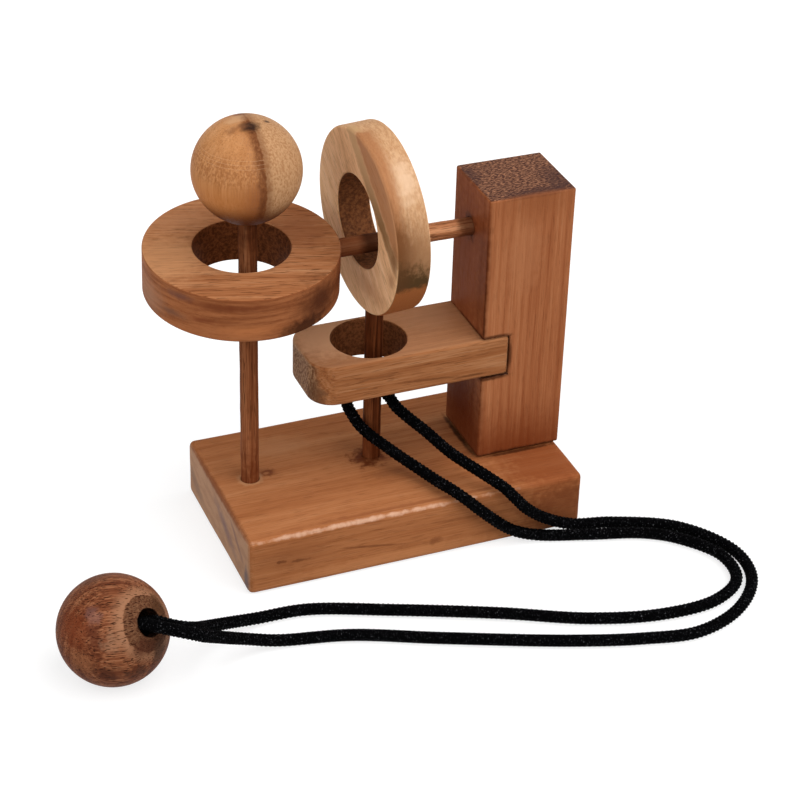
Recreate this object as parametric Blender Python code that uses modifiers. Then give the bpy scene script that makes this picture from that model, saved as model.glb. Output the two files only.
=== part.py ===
"""Wooden string and ring puzzle for a tabletop.

A teak base carries a square post. A drilled shelf is housed in the post, and dowels carry a flat
ring, an upright ring and a ball. A loop of braided cord goes round one dowel, and both of its ends
are knotted inside a turned bead.

Units are metres. The origin is the middle of the base's underside, +X runs along the base towards
the post, +Y to the back and +Z up.
"""
import math

import bmesh
import bpy
from mathutils import Matrix, Vector

# Fits
FIT = 0.00025            # gap between a wooden piece and the one that it seats in or on
CORD_REST = 0.0002       # gap between the cord and the surface that it lies on

# Base
BASE_LENGTH = 0.1200
BASE_WIDTH = 0.0654
BASE_THICKNESS = 0.0213
BASE_ARRIS = 0.0022

# Post, flush with the base's right end
POST_WIDTH = 0.0306
POST_DEPTH = 0.0282
POST_HEIGHT = 0.0984
POST_SETBACK = 0.0207    # from the base's front face to the post's front face
POST_ARRIS = 0.0007

# Hidden pegs between post and base
PEG_DIAMETER = 0.0080
PEG_SPACING = 0.0130
PEG_IN_BASE = 0.0120
PEG_IN_POST = 0.0160

# Shelf, housed in a notch of the post
SHELF_CLEAR = 0.0321     # from the base's top to the shelf's underside
SHELF_THICKNESS = 0.0146
SHELF_END = 0.0113       # from the hole's edge to the shelf's free end
SHELF_HOUSING = 0.0096   # depth of the notch in the post
SHELF_CORNER = 0.0085
SHELF_ARRIS = 0.0007
SHELF_HOLE_DIAMETER = 0.0254
SHELF_HOLE_SHIFT = -0.0019   # hole centre along X, from the ring dowel's axis
SHELF_FRONT_WALL = 0.0022    # wood left between the hole and the front face
SHELF_BACK_WALL = 0.0016     # and between the hole and the back face

# Dowels, all cut from one stock
DOWEL_DIAMETER = 0.00635
DOWEL_SETBACK = 0.0356   # from the base's front face to the row of dowels
SOCKET_DEPTH = 0.0090    # depth of each blind hole that takes a dowel
BALL_DOWEL_INSET = 0.0127    # from the base's left end
CROSS_DOWEL_CLEAR = 0.0034   # above the lowest point of the upright ring's hole

# Ball on the tall dowel, a little narrower below
BALL_DIAMETER = 0.0352
BALL_CLEAR = 0.0097      # from the flat ring's top to the ball's lowest point
BALL_TAPER = 0.05

# Rings
RING_EDGE = 0.0012       # rounded edges of both rings
FLAT_RING_DIAMETER = 0.0630
FLAT_RING_HOLE = 0.0319
FLAT_RING_THICKNESS = 0.0155
FLAT_RING_SHIFT = (-0.0012, 0.0028)  # centre from the ball dowel's axis, along X and Y
FLAT_RING_DROP = 0.0022  # middle of the ring below the cross dowel's axis
FLAT_RING_ROLL = 3.9     # degrees about X, front edge down, as it was glued by hand
UPRIGHT_RING_DIAMETER = 0.0622
UPRIGHT_RING_HOLE = 0.0311
UPRIGHT_RING_THICKNESS = 0.0117
UPRIGHT_RING_FOOT = 0.0602   # lowest point above the base's top
RINGS_GAP = 0.0076       # from the flat ring's rim to the upright ring's near face
UPRIGHT_RING_TURN = 3.0  # degrees about the ring dowel
UPRIGHT_RING_LEAN = -1.8     # degrees about Y

# Bead on the cord's ends, lying on the table
BEAD_DIAMETER = 0.0352
BEAD_PLACE = (-0.1117, -0.0560)
BEAD_BORE = 0.0090
BEAD_SHOULDER = 0.0070   # from the bead's centre back to the counterbore's floor
BORE_TURN = -54.7        # degrees about Z, from +X, of the bore's mouth
BORE_RISE = 32.7         # degrees that the mouth points up

# Cord
CORD_DIAMETER = 0.0040
CORD_SIDE_GAP = 0.0005   # between the two strands in the bore
STRAND_STRAIGHT = 0.0173 # each strand runs straight to here, from the bead's centre
STRAND_LEAN = 15.0       # degrees of the strands' own plane, from the way that they leave the mouth
CORD_STEP = 5.0          # greatest spacing of the tube's points, in cord diameters
KNOT_DIAMETER = 0.0112
KNOT_LENGTH = 0.0076
KNOT_EDGE = 0.0026
KNOT_GAP = 0.0007        # round the knot, in the bead's counterbore

# Facets
ROUND_SIDES = 28
RING_STEPS = 56
BALL_STEPS = 36
EDGE_STEPS = 2

# Places worked out from the sizes above
BASE_LEFT = -BASE_LENGTH / 2
BASE_RIGHT = BASE_LENGTH / 2
BASE_FRONT = -BASE_WIDTH / 2
BASE_TOP = BASE_THICKNESS
POST_LEFT = BASE_RIGHT - POST_WIDTH
POST_FRONT = BASE_FRONT + POST_SETBACK
POST_TOP = BASE_TOP + POST_HEIGHT
SHELF_BOTTOM = BASE_TOP + SHELF_CLEAR
SHELF_DEPTH = SHELF_FRONT_WALL + SHELF_HOLE_DIAMETER + SHELF_BACK_WALL
DOWEL_Y = BASE_FRONT + DOWEL_SETBACK
SHELF_FRONT = DOWEL_Y - SHELF_HOLE_DIAMETER / 2 - SHELF_FRONT_WALL
BALL_DOWEL_X = BASE_LEFT + BALL_DOWEL_INSET
DOWEL_RADIUS = DOWEL_DIAMETER / 2
SOCKET_RADIUS = DOWEL_RADIUS + FIT
UPRIGHT_RING_Z = BASE_TOP + UPRIGHT_RING_FOOT
UPRIGHT_RING_WALL = (UPRIGHT_RING_DIAMETER - UPRIGHT_RING_HOLE) / 2
CROSS_DOWEL_Z = UPRIGHT_RING_Z + UPRIGHT_RING_WALL + CROSS_DOWEL_CLEAR + DOWEL_RADIUS
FLAT_RING_X = BALL_DOWEL_X + FLAT_RING_SHIFT[0]
FLAT_RING_Y = DOWEL_Y + FLAT_RING_SHIFT[1]
FLAT_RING_Z = CROSS_DOWEL_Z - FLAT_RING_DROP
BALL_Z = FLAT_RING_Z + FLAT_RING_THICKNESS / 2 + BALL_CLEAR + BALL_DIAMETER / 2
FLAT_RING_REACH = math.sqrt((FLAT_RING_DIAMETER / 2) ** 2 - FLAT_RING_SHIFT[1] ** 2)
FLAT_RING_EDGE_X = FLAT_RING_X + FLAT_RING_REACH
RING_DOWEL_X = FLAT_RING_EDGE_X + RINGS_GAP + UPRIGHT_RING_THICKNESS / 2
SHELF_HOLE_X = RING_DOWEL_X + SHELF_HOLE_SHIFT
BEAD_RADIUS = BEAD_DIAMETER / 2
BEAD_COUNTERBORE = KNOT_DIAMETER + 2 * KNOT_GAP
CORD_RADIUS = CORD_DIAMETER / 2
CORD_LIE = CORD_RADIUS + CORD_REST

for old in list(bpy.data.objects):
    bpy.data.objects.remove(old)

parts = bpy.data.collections.new("string_and_ring_puzzle")
cutters = bpy.data.collections.new("cutters")
bpy.context.scene.collection.children.link(parts)
bpy.context.scene.collection.children.link(cutters)


def file_under(obj, name, collection):
    """Name an object and keep it in one collection only."""
    obj.name = name
    obj.data.name = name
    for other in list(obj.users_collection):
        other.objects.unlink(obj)
    collection.objects.link(obj)
    return obj


def finish(obj, colour, roughness):
    """Give a part its own material."""
    material = bpy.data.materials.new(obj.name)
    material.use_nodes = True
    shader = material.node_tree.nodes["Principled BSDF"]
    shader.inputs["Base Color"].default_value = (*colour, 1.0)
    shader.inputs["Roughness"].default_value = roughness
    shader.inputs["Metallic"].default_value = 0.0
    obj.data.materials.clear()
    obj.data.materials.append(material)
    return obj


def smooth(obj):
    obj.data.shade_smooth()
    obj.data.set_sharp_from_angle(angle=math.radians(35))
    return obj


def soften(obj, width):
    """Round the arrises of a sawn piece."""
    bevel = obj.modifiers.new("arris", "BEVEL")
    bevel.width = width
    bevel.segments = 2
    bevel.limit_method = "ANGLE"
    bevel.angle_limit = math.radians(40)
    return obj


def block(name, low, high, collection=parts):
    """A sawn block between two corners."""
    size = Vector(high) - Vector(low)
    bpy.ops.mesh.primitive_cube_add(size=1.0)
    obj = bpy.context.object
    obj.data.transform(Matrix.Diagonal((*size, 1.0)))
    obj.location = (Vector(low) + Vector(high)) / 2
    return file_under(obj, name, collection)


def rod(name, radius, start, end, collection=parts):
    """A round rod between two points."""
    start, end = Vector(start), Vector(end)
    along = end - start
    bpy.ops.mesh.primitive_cylinder_add(vertices=ROUND_SIDES, radius=radius, depth=along.length)
    obj = bpy.context.object
    obj.location = (start + end) / 2
    obj.rotation_euler = along.to_track_quat("Z", "Y").to_euler()
    return smooth(file_under(obj, name, collection))


def turned(name, profile, steps, closed=False, collection=parts):
    """Turn a profile of (radius, height) points about its own Z axis, as on a lathe."""
    mesh = bpy.data.meshes.new(name)
    count = len(profile)
    edges = [(i, i + 1) for i in range(count - 1)]
    if closed:
        edges.append((count - 1, 0))
    mesh.from_pydata([(radius, 0.0, height) for radius, height in profile], edges, [])
    obj = bpy.data.objects.new(name, mesh)
    collection.objects.link(obj)
    lathe = obj.modifiers.new("lathe", "SCREW")
    lathe.axis = "Z"
    lathe.angle = math.tau
    lathe.steps = steps
    lathe.render_steps = steps
    lathe.use_merge_vertices = True
    lathe.merge_threshold = 0.00001
    return obj


def cut(piece, tool):
    """Cut a tool's shape out of a piece."""
    tool.hide_render = True
    tool.display_type = "WIRE"
    boolean = piece.modifiers.new("cut_" + tool.name, "BOOLEAN")
    boolean.operation = "DIFFERENCE"
    boolean.solver = "EXACT"
    boolean.object = tool
    return piece


def socket(piece, name, mouth, floor):
    """A blind hole for a dowel, drilled from a point outside the piece down to its floor."""
    return cut(piece, rod(name, SOCKET_RADIUS, mouth, floor, cutters))


def rounded_ring_profile(outer, inner, thickness, edge):
    """A ring's section, down the outer side, in along the bottom and up the inner side."""
    half = thickness / 2
    corners = [
        (outer - edge, half - edge, 90),
        (outer - edge, -half + edge, 0),
        (inner + edge, -half + edge, -90),
        (inner + edge, half - edge, -180),
    ]
    profile = []
    for radius, height, start in corners:
        for step in range(EDGE_STEPS + 1):
            angle = math.radians(start - 90 * step / EDGE_STEPS)
            profile.append((radius + edge * math.cos(angle), height + edge * math.sin(angle)))
    return profile


def ball_profile(radius, taper):
    """A ball's section from top to bottom, drawn in below its middle by the taper."""
    count = BALL_STEPS // 2
    profile = []
    for step in range(count + 1):
        angle = math.pi * step / count
        below = max(0.0, -math.cos(angle))
        narrow = 1.0 - taper * below * below
        across = 0.0 if step in (0, count) else radius * math.sin(angle) * narrow
        profile.append((across, radius * math.cos(angle)))
    return profile


# Base, with its blind holes
base = soften(block("base", (BASE_LEFT, BASE_FRONT, 0.0), (BASE_RIGHT, -BASE_FRONT, BASE_TOP)), BASE_ARRIS)
SOCKET_FLOOR_Z = BASE_TOP - SOCKET_DEPTH
DRILL_START_Z = BASE_TOP + SOCKET_DEPTH
for hole, x in (("ball_dowel_hole", BALL_DOWEL_X), ("ring_dowel_hole", RING_DOWEL_X)):
    socket(base, hole, (x, DOWEL_Y, DRILL_START_Z), (x, DOWEL_Y, SOCKET_FLOOR_Z))
finish(base, (0.36, 0.15, 0.06), 0.42)

# Post, with the notch that houses the shelf
post_low = Vector((POST_LEFT, POST_FRONT, BASE_TOP + FIT))
post_high = Vector((BASE_RIGHT, POST_FRONT + POST_DEPTH, POST_TOP))
post = soften(block("post", post_low, post_high), POST_ARRIS)
notch_margin = max(POST_DEPTH, SHELF_DEPTH)
notch_low = (POST_LEFT - SHELF_HOUSING, POST_FRONT - notch_margin, SHELF_BOTTOM - FIT)
notch_high = (
    POST_LEFT + SHELF_HOUSING + FIT,
    POST_FRONT + POST_DEPTH + notch_margin,
    SHELF_BOTTOM + SHELF_THICKNESS + FIT,
)
cut(post, block("shelf_notch", notch_low, notch_high, cutters))
cross_floor = (POST_LEFT + SOCKET_DEPTH, DOWEL_Y, CROSS_DOWEL_Z)
cross_start = (POST_LEFT - SOCKET_DEPTH, DOWEL_Y, CROSS_DOWEL_Z)
socket(post, "cross_dowel_hole", cross_start, cross_floor)
finish(post, (0.26, 0.09, 0.04), 0.42)

# Pegs that hold the post on the base
PEG_X = POST_LEFT + POST_WIDTH / 2
POST_MIDDLE_Y = POST_FRONT + POST_DEPTH / 2
for name, side in (("post_peg_front", -1), ("post_peg_back", 1)):
    y = POST_MIDDLE_Y + side * PEG_SPACING / 2
    low = Vector((PEG_X, y, BASE_TOP - PEG_IN_BASE))
    high = Vector((PEG_X, y, BASE_TOP + PEG_IN_POST))
    end_gap = Vector((0.0, 0.0, FIT))
    hole = rod(name + "_hole", PEG_DIAMETER / 2 + FIT, low - end_gap, high + end_gap, cutters)
    cut(base, hole)
    cut(post, hole)
    finish(rod(name, PEG_DIAMETER / 2, low, high), (0.52, 0.33, 0.17), 0.6)


def shelf_outline(left, right, front, back, corner):
    """The shelf seen from above: square in the post, round at the free corners."""
    points = [(right, front), (right, back)]
    for x, y, start in ((left + corner, back - corner, 90), (left + corner, front + corner, 180)):
        for step in range(EDGE_STEPS * 2 + 1):
            angle = math.radians(start + 90 * step / (EDGE_STEPS * 2))
            points.append((x + corner * math.cos(angle), y + corner * math.sin(angle)))
    return points


def plate(name, outline, bottom, thickness):
    """A flat plate from a closed outline, as one welded mesh."""
    curve = bpy.data.curves.new(name, "CURVE")
    curve.dimensions = "2D"
    curve.fill_mode = "BOTH"
    curve.extrude = thickness / 2
    spline = curve.splines.new("POLY")
    spline.points.add(len(outline) - 1)
    for point, (x, y) in zip(spline.points, outline):
        point.co = (x, y, 0.0, 1.0)
    spline.use_cyclic_u = True
    drawing = bpy.data.objects.new(name, curve)
    parts.objects.link(drawing)
    bpy.context.view_layer.update()
    evaluated = drawing.evaluated_get(bpy.context.evaluated_depsgraph_get())
    mesh = bpy.data.meshes.new_from_object(evaluated)
    bpy.data.objects.remove(drawing)
    welded = bmesh.new()
    welded.from_mesh(mesh)
    bmesh.ops.remove_doubles(welded, verts=welded.verts, dist=0.00001)
    bmesh.ops.recalc_face_normals(welded, faces=welded.faces)
    welded.to_mesh(mesh)
    welded.free()
    obj = bpy.data.objects.new(name, mesh)
    obj.location.z = bottom + thickness / 2
    parts.objects.link(obj)
    return obj


# Shelf, with the hole that the ring dowel passes through
shelf_edges = shelf_outline(
    SHELF_HOLE_X - SHELF_HOLE_DIAMETER / 2 - SHELF_END,
    POST_LEFT + SHELF_HOUSING,
    SHELF_FRONT,
    SHELF_FRONT + SHELF_DEPTH,
    SHELF_CORNER,
)
shelf = soften(plate("shelf", shelf_edges, SHELF_BOTTOM, SHELF_THICKNESS), SHELF_ARRIS)
hole_low = (SHELF_HOLE_X, DOWEL_Y, SHELF_BOTTOM - SHELF_THICKNESS)
hole_high = (SHELF_HOLE_X, DOWEL_Y, SHELF_BOTTOM + 2 * SHELF_THICKNESS)
cut(shelf, rod("shelf_hole", SHELF_HOLE_DIAMETER / 2, hole_low, hole_high, cutters))
finish(smooth(shelf), (0.40, 0.19, 0.08), 0.45)

# Flat ring, rolled a little about the cross dowel that holds it
ring_section = rounded_ring_profile(
    FLAT_RING_DIAMETER / 2, FLAT_RING_HOLE / 2, FLAT_RING_THICKNESS, RING_EDGE)
flat_ring = turned("flat_ring", ring_section, RING_STEPS, closed=True)
flat_ring.location = (FLAT_RING_X, FLAT_RING_Y, FLAT_RING_Z)
flat_ring.rotation_euler = (math.radians(FLAT_RING_ROLL), 0.0, 0.0)
flat_socket_floor = (FLAT_RING_EDGE_X - SOCKET_DEPTH, DOWEL_Y, CROSS_DOWEL_Z)
flat_socket_start = (FLAT_RING_EDGE_X + SOCKET_DEPTH, DOWEL_Y, CROSS_DOWEL_Z)
socket(flat_ring, "flat_ring_hole", flat_socket_start, flat_socket_floor)
finish(smooth(flat_ring), (0.33, 0.14, 0.07), 0.42)

# Upright ring, standing on its dowel
ring_section = rounded_ring_profile(
    UPRIGHT_RING_DIAMETER / 2, UPRIGHT_RING_HOLE / 2, UPRIGHT_RING_THICKNESS, RING_EDGE)
upright_ring = turned("upright_ring", ring_section, RING_STEPS, closed=True)
stance = Matrix.Rotation(math.radians(UPRIGHT_RING_TURN), 4, "Z")
stance = stance @ Matrix.Rotation(math.radians(UPRIGHT_RING_LEAN), 4, "Y")
on_edge = Matrix.Rotation(math.radians(90), 4, "Y")
ring_rise = Matrix.Translation((0.0, 0.0, UPRIGHT_RING_DIAMETER / 2))
foot = Matrix.Translation((RING_DOWEL_X, DOWEL_Y, UPRIGHT_RING_Z))
upright_ring.matrix_world = foot @ stance @ ring_rise @ on_edge
upright_floor = (RING_DOWEL_X, DOWEL_Y, UPRIGHT_RING_Z + SOCKET_DEPTH)
upright_start = (RING_DOWEL_X, DOWEL_Y, UPRIGHT_RING_Z - SOCKET_DEPTH)
socket(upright_ring, "upright_ring_hole", upright_start, upright_floor)
finish(smooth(upright_ring), (0.52, 0.31, 0.15), 0.42)

# Ball on the tall dowel
top_ball = turned("top_ball", ball_profile(BALL_DIAMETER / 2, BALL_TAPER), BALL_STEPS)
top_ball.location = (BALL_DOWEL_X, DOWEL_Y, BALL_Z)
BALL_BOTTOM = BALL_Z - BALL_DIAMETER / 2
ball_floor = (BALL_DOWEL_X, DOWEL_Y, BALL_BOTTOM + SOCKET_DEPTH)
ball_start = (BALL_DOWEL_X, DOWEL_Y, BALL_BOTTOM - SOCKET_DEPTH)
socket(top_ball, "top_ball_hole", ball_start, ball_floor)
finish(smooth(top_ball), (0.55, 0.30, 0.12), 0.38)

# Dowels, each seated in a blind hole at both ends
lower_end = SOCKET_FLOOR_Z + FIT
dowels = {
    "ball_dowel": ((BALL_DOWEL_X, DOWEL_Y, lower_end), (BALL_DOWEL_X, DOWEL_Y, ball_floor[2] - FIT)),
    "ring_dowel": ((RING_DOWEL_X, DOWEL_Y, lower_end), (RING_DOWEL_X, DOWEL_Y, upright_floor[2] - FIT)),
    "cross_dowel": (
        (flat_socket_floor[0] + FIT, DOWEL_Y, CROSS_DOWEL_Z),
        (cross_floor[0] - FIT, DOWEL_Y, CROSS_DOWEL_Z),
    ),
}
for name, (start, end) in dowels.items():
    finish(rod(name, DOWEL_RADIUS, start, end), (0.24, 0.10, 0.05), 0.5)

# Bead, with a bore for the two strands and a counterbore for their knot
turn, rise = math.radians(BORE_TURN), math.radians(BORE_RISE)
BORE_AXIS = Vector((math.cos(rise) * math.cos(turn), math.cos(rise) * math.sin(turn), math.sin(rise)))
BEAD_CENTRE = Vector((*BEAD_PLACE, BEAD_RADIUS))
bead = turned("bead", ball_profile(BEAD_RADIUS, 0.0), BALL_STEPS)
bead.location = BEAD_CENTRE
bead.rotation_euler = BORE_AXIS.to_track_quat("Z", "Y").to_euler()


def along_bore(distance):
    """A point on the bore's axis, measured from the bead's centre towards the mouth."""
    return BEAD_CENTRE + BORE_AXIS * distance


cut(bead, rod("bore", BEAD_BORE / 2, along_bore(-BEAD_DIAMETER), along_bore(BEAD_DIAMETER), cutters))
counterbore = rod(
    "counterbore", BEAD_COUNTERBORE / 2, along_bore(-BEAD_DIAMETER), along_bore(-BEAD_SHOULDER), cutters)
cut(bead, counterbore)
finish(smooth(bead), (0.22, 0.10, 0.05), 0.42)

# Knot, seated against the counterbore's floor, flat where the strands meet it
knot_profile = [(0.0, KNOT_LENGTH / 2)]
for side in (1, -1):
    for step in range(EDGE_STEPS + 1):
        angle = math.radians((90 if side > 0 else 0) - 90 * step / EDGE_STEPS)
        across = KNOT_DIAMETER / 2 - KNOT_EDGE + KNOT_EDGE * math.cos(angle)
        height = side * (KNOT_LENGTH / 2 - KNOT_EDGE) + KNOT_EDGE * math.sin(angle)
        knot_profile.append((across, height))
knot_profile.append((0.0, -KNOT_LENGTH / 2))
cord_knot = turned("cord_knot", knot_profile, ROUND_SIDES)
cord_knot.location = along_bore(-BEAD_SHOULDER - FIT - KNOT_LENGTH / 2)
cord_knot.rotation_euler = bead.rotation_euler
finish(smooth(cord_knot), (0.012, 0.012, 0.013), 0.7)

# Cord, from the knot out of the bead, along the table, round the ring dowel and back
BORE_MOUTH = along_bore(math.sqrt(BEAD_RADIUS ** 2 - (BEAD_BORE / 2) ** 2))
TABLE_RUN = Vector((0.835, 0.183, -0.519))   # the way that the strands turn, outside the mouth
AWAY = (TABLE_RUN - BORE_AXIS * TABLE_RUN.dot(BORE_AXIS)).normalized()
ABOVE = BORE_AXIS.cross(AWAY)
BESIDE = AWAY * math.cos(math.radians(STRAND_LEAN)) + ABOVE * math.sin(math.radians(STRAND_LEAN))
STRAND_SHIFT = (CORD_DIAMETER + CORD_SIDE_GAP) / 2
# Each strand's bend at the mouth: out along the bore, away towards the table run, and across
OVER_BEND = [
    (0.0052, -0.0011, -0.0020), (0.0088, 0.0022, -0.0031),
    (0.0106, 0.0072, -0.0037), (0.0101, 0.0126, -0.0037),
]
UNDER_BEND = [
    (0.0036, 0.0030, -0.0004), (0.0060, 0.0054, -0.0012),
    (0.0069, 0.0090, -0.0013), (0.0057, 0.0135, -0.0007),
]
# The strand that lies on top at the bead, from there to the back of the ring dowel
OVER_RUN = [
    (-0.0823, -0.0687, 0.0163), (-0.0708, -0.0620, 0.0074), (-0.0594, -0.0606, 0.0027),
    (-0.0370, -0.0652, CORD_LIE), (-0.0100, -0.0767, CORD_LIE), (0.0285, -0.0922, CORD_LIE),
    (0.0505, -0.0990, CORD_LIE), (0.0690, -0.1020, CORD_LIE), (0.0870, -0.0957, CORD_LIE),
    (0.0995, -0.0822, CORD_LIE), (0.1013, -0.0667, CORD_LIE), (0.0900, -0.0483, CORD_LIE),
    (0.0693, -0.0378, CORD_LIE), (0.0560, -0.0353, 0.0030), (0.0457, -0.0353, 0.0078),
    (0.0384, -0.0357, 0.0134), (0.0330, -0.0360, 0.0197), (0.0299, -0.0343, 0.0232),
    (0.0256, -0.0292, 0.0257), (0.0166, -0.0186, 0.0306), (0.0106, -0.0098, 0.0354),
    (0.0068, -0.0028, 0.0377), (0.0048, 0.0026, 0.0390), (0.0043, 0.0074, 0.0400),
    (0.0028, 0.0119, 0.0406), (-0.0010, 0.0147, 0.0409),
]
# The other strand, from the back of the ring dowel to the bead
UNDER_RUN = [
    (-0.0057, 0.0147, 0.0409), (-0.0094, 0.0119, 0.0406), (-0.0109, 0.0074, 0.0398),
    (-0.0105, 0.0034, 0.0382), (-0.0093, 0.0002, 0.0360), (-0.0069, -0.0026, 0.0335),
    (-0.0034, -0.0055, 0.0308), (0.0006, -0.0097, 0.0281), (0.0062, -0.0172, 0.0252),
    (0.0095, -0.0245, 0.0245), (0.0122, -0.0308, 0.0244), (0.0158, -0.0346, 0.0221),
    (0.0206, -0.0357, 0.0174), (0.0330, -0.0353, 0.0061), (0.0425, -0.0363, 0.0024),
    (0.0590, -0.0416, CORD_LIE), (0.0770, -0.0473, CORD_LIE), (0.0869, -0.0542, CORD_LIE),
    (0.0960, -0.0677, CORD_LIE), (0.0943, -0.0812, CORD_LIE), (0.0820, -0.0891, CORD_LIE),
    (0.0617, -0.0897, CORD_LIE), (0.0390, -0.0837, CORD_LIE), (0.0127, -0.0712, CORD_LIE),
    (-0.0195, -0.0577, CORD_LIE), (-0.0455, -0.0480, CORD_LIE), (-0.0626, -0.0478, 0.0030),
    (-0.0735, -0.0522, 0.0073), (-0.0838, -0.0599, 0.0141),
]


def strand_in_bore(side):
    """Two points of a strand inside the bore, from the knot towards the mouth."""
    shift = BESIDE * STRAND_SHIFT * side
    return [along_bore(-BEAD_SHOULDER) + shift, along_bore(STRAND_STRAIGHT) + shift]


def bend_at_mouth(steps):
    return [BORE_MOUTH + BORE_AXIS * out + AWAY * away + ABOVE * up for out, away, up in steps]


def smooth_curve(route, step):
    """Points on a centripetal Catmull-Rom curve through a route, at most a step apart."""
    ends = [route[0] * 2 - route[1]] + route + [route[-1] * 2 - route[-2]]
    points = []
    for before, start, end, after in zip(ends, ends[1:], ends[2:], ends[3:]):
        knots = [0.0]
        for first, second in ((before, start), (start, end), (end, after)):
            knots.append(knots[-1] + math.sqrt((second - first).length))
        t0, t1, t2, t3 = knots
        count = max(1, math.ceil((end - start).length / step))
        for index in range(count):
            t = t1 + (t2 - t1) * index / count
            a = before.lerp(start, (t - t0) / (t1 - t0))
            b = start.lerp(end, (t - t1) / (t2 - t1))
            c = end.lerp(after, (t - t2) / (t3 - t2))
            d = a.lerp(b, (t - t0) / (t2 - t0))
            e = b.lerp(c, (t - t1) / (t3 - t1))
            points.append(d.lerp(e, (t - t1) / (t2 - t1)))
    return points + [route[-1]]


cord_route = strand_in_bore(-1) + bend_at_mouth(OVER_BEND)
cord_route += [Vector(point) for point in OVER_RUN + UNDER_RUN]
cord_route += (strand_in_bore(1) + bend_at_mouth(UNDER_BEND))[::-1]
cord_points = smooth_curve(cord_route, CORD_STEP * CORD_DIAMETER)
cord = bpy.data.curves.new("cord_loop", "CURVE")
cord.dimensions = "3D"
cord.bevel_depth = CORD_RADIUS
cord.bevel_resolution = 3
cord.use_fill_caps = True
spline = cord.splines.new("POLY")
spline.points.add(len(cord_points) - 1)
dowel_axis = Vector((RING_DOWEL_X, DOWEL_Y, 0.0))
for point, place in zip(spline.points, cord_points):
    point.co = (*(place - dowel_axis), 1.0)
cord_loop = bpy.data.objects.new("cord_loop", cord)
cord_loop.location = dowel_axis
parts.objects.link(cord_loop)
finish(cord_loop, (0.012, 0.012, 0.013), 0.7)

cord_length = sum((b - a).length for a, b in zip(cord_points, cord_points[1:]))
print(f"cord: {len(cord_points)} points, {cord_length:.3f} m from knot to knot")
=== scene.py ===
# %% [markdown]
# # A wooden string and ring puzzle
#
# The real object is a tabletop puzzle in oiled teak. A base carries a post, dowels, two turned rings,
# a drilled shelf and a ball, and a loop of black braided cord has to be freed from them. The solids
# already exist, at their real size. This lesson makes the surfaces that are seen: softened wood with
# its grain, and a cord with its braid.

# %% Load the solids
import math

import bmesh
import bpy
import numpy as np
from mathutils import Euler, Matrix, Quaternion, Vector


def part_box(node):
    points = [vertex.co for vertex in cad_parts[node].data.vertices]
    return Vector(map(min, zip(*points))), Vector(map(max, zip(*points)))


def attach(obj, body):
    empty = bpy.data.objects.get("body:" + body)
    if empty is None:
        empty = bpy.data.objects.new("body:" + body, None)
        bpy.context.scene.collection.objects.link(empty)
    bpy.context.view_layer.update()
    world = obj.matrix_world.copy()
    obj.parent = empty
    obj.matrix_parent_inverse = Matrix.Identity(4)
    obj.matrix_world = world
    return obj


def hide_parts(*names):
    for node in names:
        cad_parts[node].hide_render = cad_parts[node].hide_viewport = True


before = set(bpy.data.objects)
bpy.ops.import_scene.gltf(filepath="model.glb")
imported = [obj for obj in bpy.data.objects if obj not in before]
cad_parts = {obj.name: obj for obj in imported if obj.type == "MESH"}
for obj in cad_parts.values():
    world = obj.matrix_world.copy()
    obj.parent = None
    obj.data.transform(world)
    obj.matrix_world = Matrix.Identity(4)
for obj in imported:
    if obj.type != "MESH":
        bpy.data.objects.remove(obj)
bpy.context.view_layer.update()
MM = 0.001
print("solids:", ", ".join(sorted(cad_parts)))

# %% [markdown]
# ## Camera
#
# The photograph looks down from the front left with a long lens. A camera could be aimed with a
# constraint, but a fixed place, a target and a small roll say the same and stay where they are put.

# %% Camera at the photograph's angle
CAMERA_PLACE = Vector((-0.247676, -0.599160, 0.455903))
CAMERA_TARGET = Vector((0.0020, -0.0077, 0.0482))
CAMERA_ROLL = math.radians(1.7748)
CAMERA_LENS = 102.71
SENSOR_WIDTH = 36.0

camera = bpy.data.objects.new("camera", bpy.data.cameras.new("camera"))
bpy.context.scene.collection.objects.link(camera)
sight = (CAMERA_TARGET - CAMERA_PLACE).to_track_quat("-Z", "Y")
camera.location = CAMERA_PLACE
camera.rotation_mode = "QUATERNION"
camera.rotation_quaternion = sight @ Quaternion((0, 0, 1), CAMERA_ROLL)
camera.data.lens = CAMERA_LENS
camera.data.sensor_width = SENSOR_WIDTH
bpy.context.scene.camera = camera
bpy.context.scene.view_settings.view_transform = "Standard"
print("camera distance:", round((CAMERA_TARGET - CAMERA_PLACE).length, 3), "m")

# %% [markdown]
# ## The cord's route
#
# One cord starts at a knot inside the bead, comes out of the bore, lies on the table in a long loop,
# climbs over the base's front edge, goes round the ring dowel and comes back beside itself. Its points
# are placed where the real cord lies, in millimetres, and one smooth curve runs through them all.

# %% Bead, bore and mouth
BORE_TURN = math.radians(-54.7)
BORE_RISE = math.radians(32.7)
BEAD_BORE = 0.0090
BEAD_SHOULDER = 0.0070
CORD_DIAMETER = 0.0040
CORD_SIDE_GAP = 0.0005
STRAND_STRAIGHT = 0.0173
STRAND_LEAN = math.radians(15)
TABLE_RUN = Vector((0.835, 0.183, -0.519))


def middle(node):
    """The middle of a solid's box."""
    low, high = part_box(node)
    return (low + high) / 2


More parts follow.
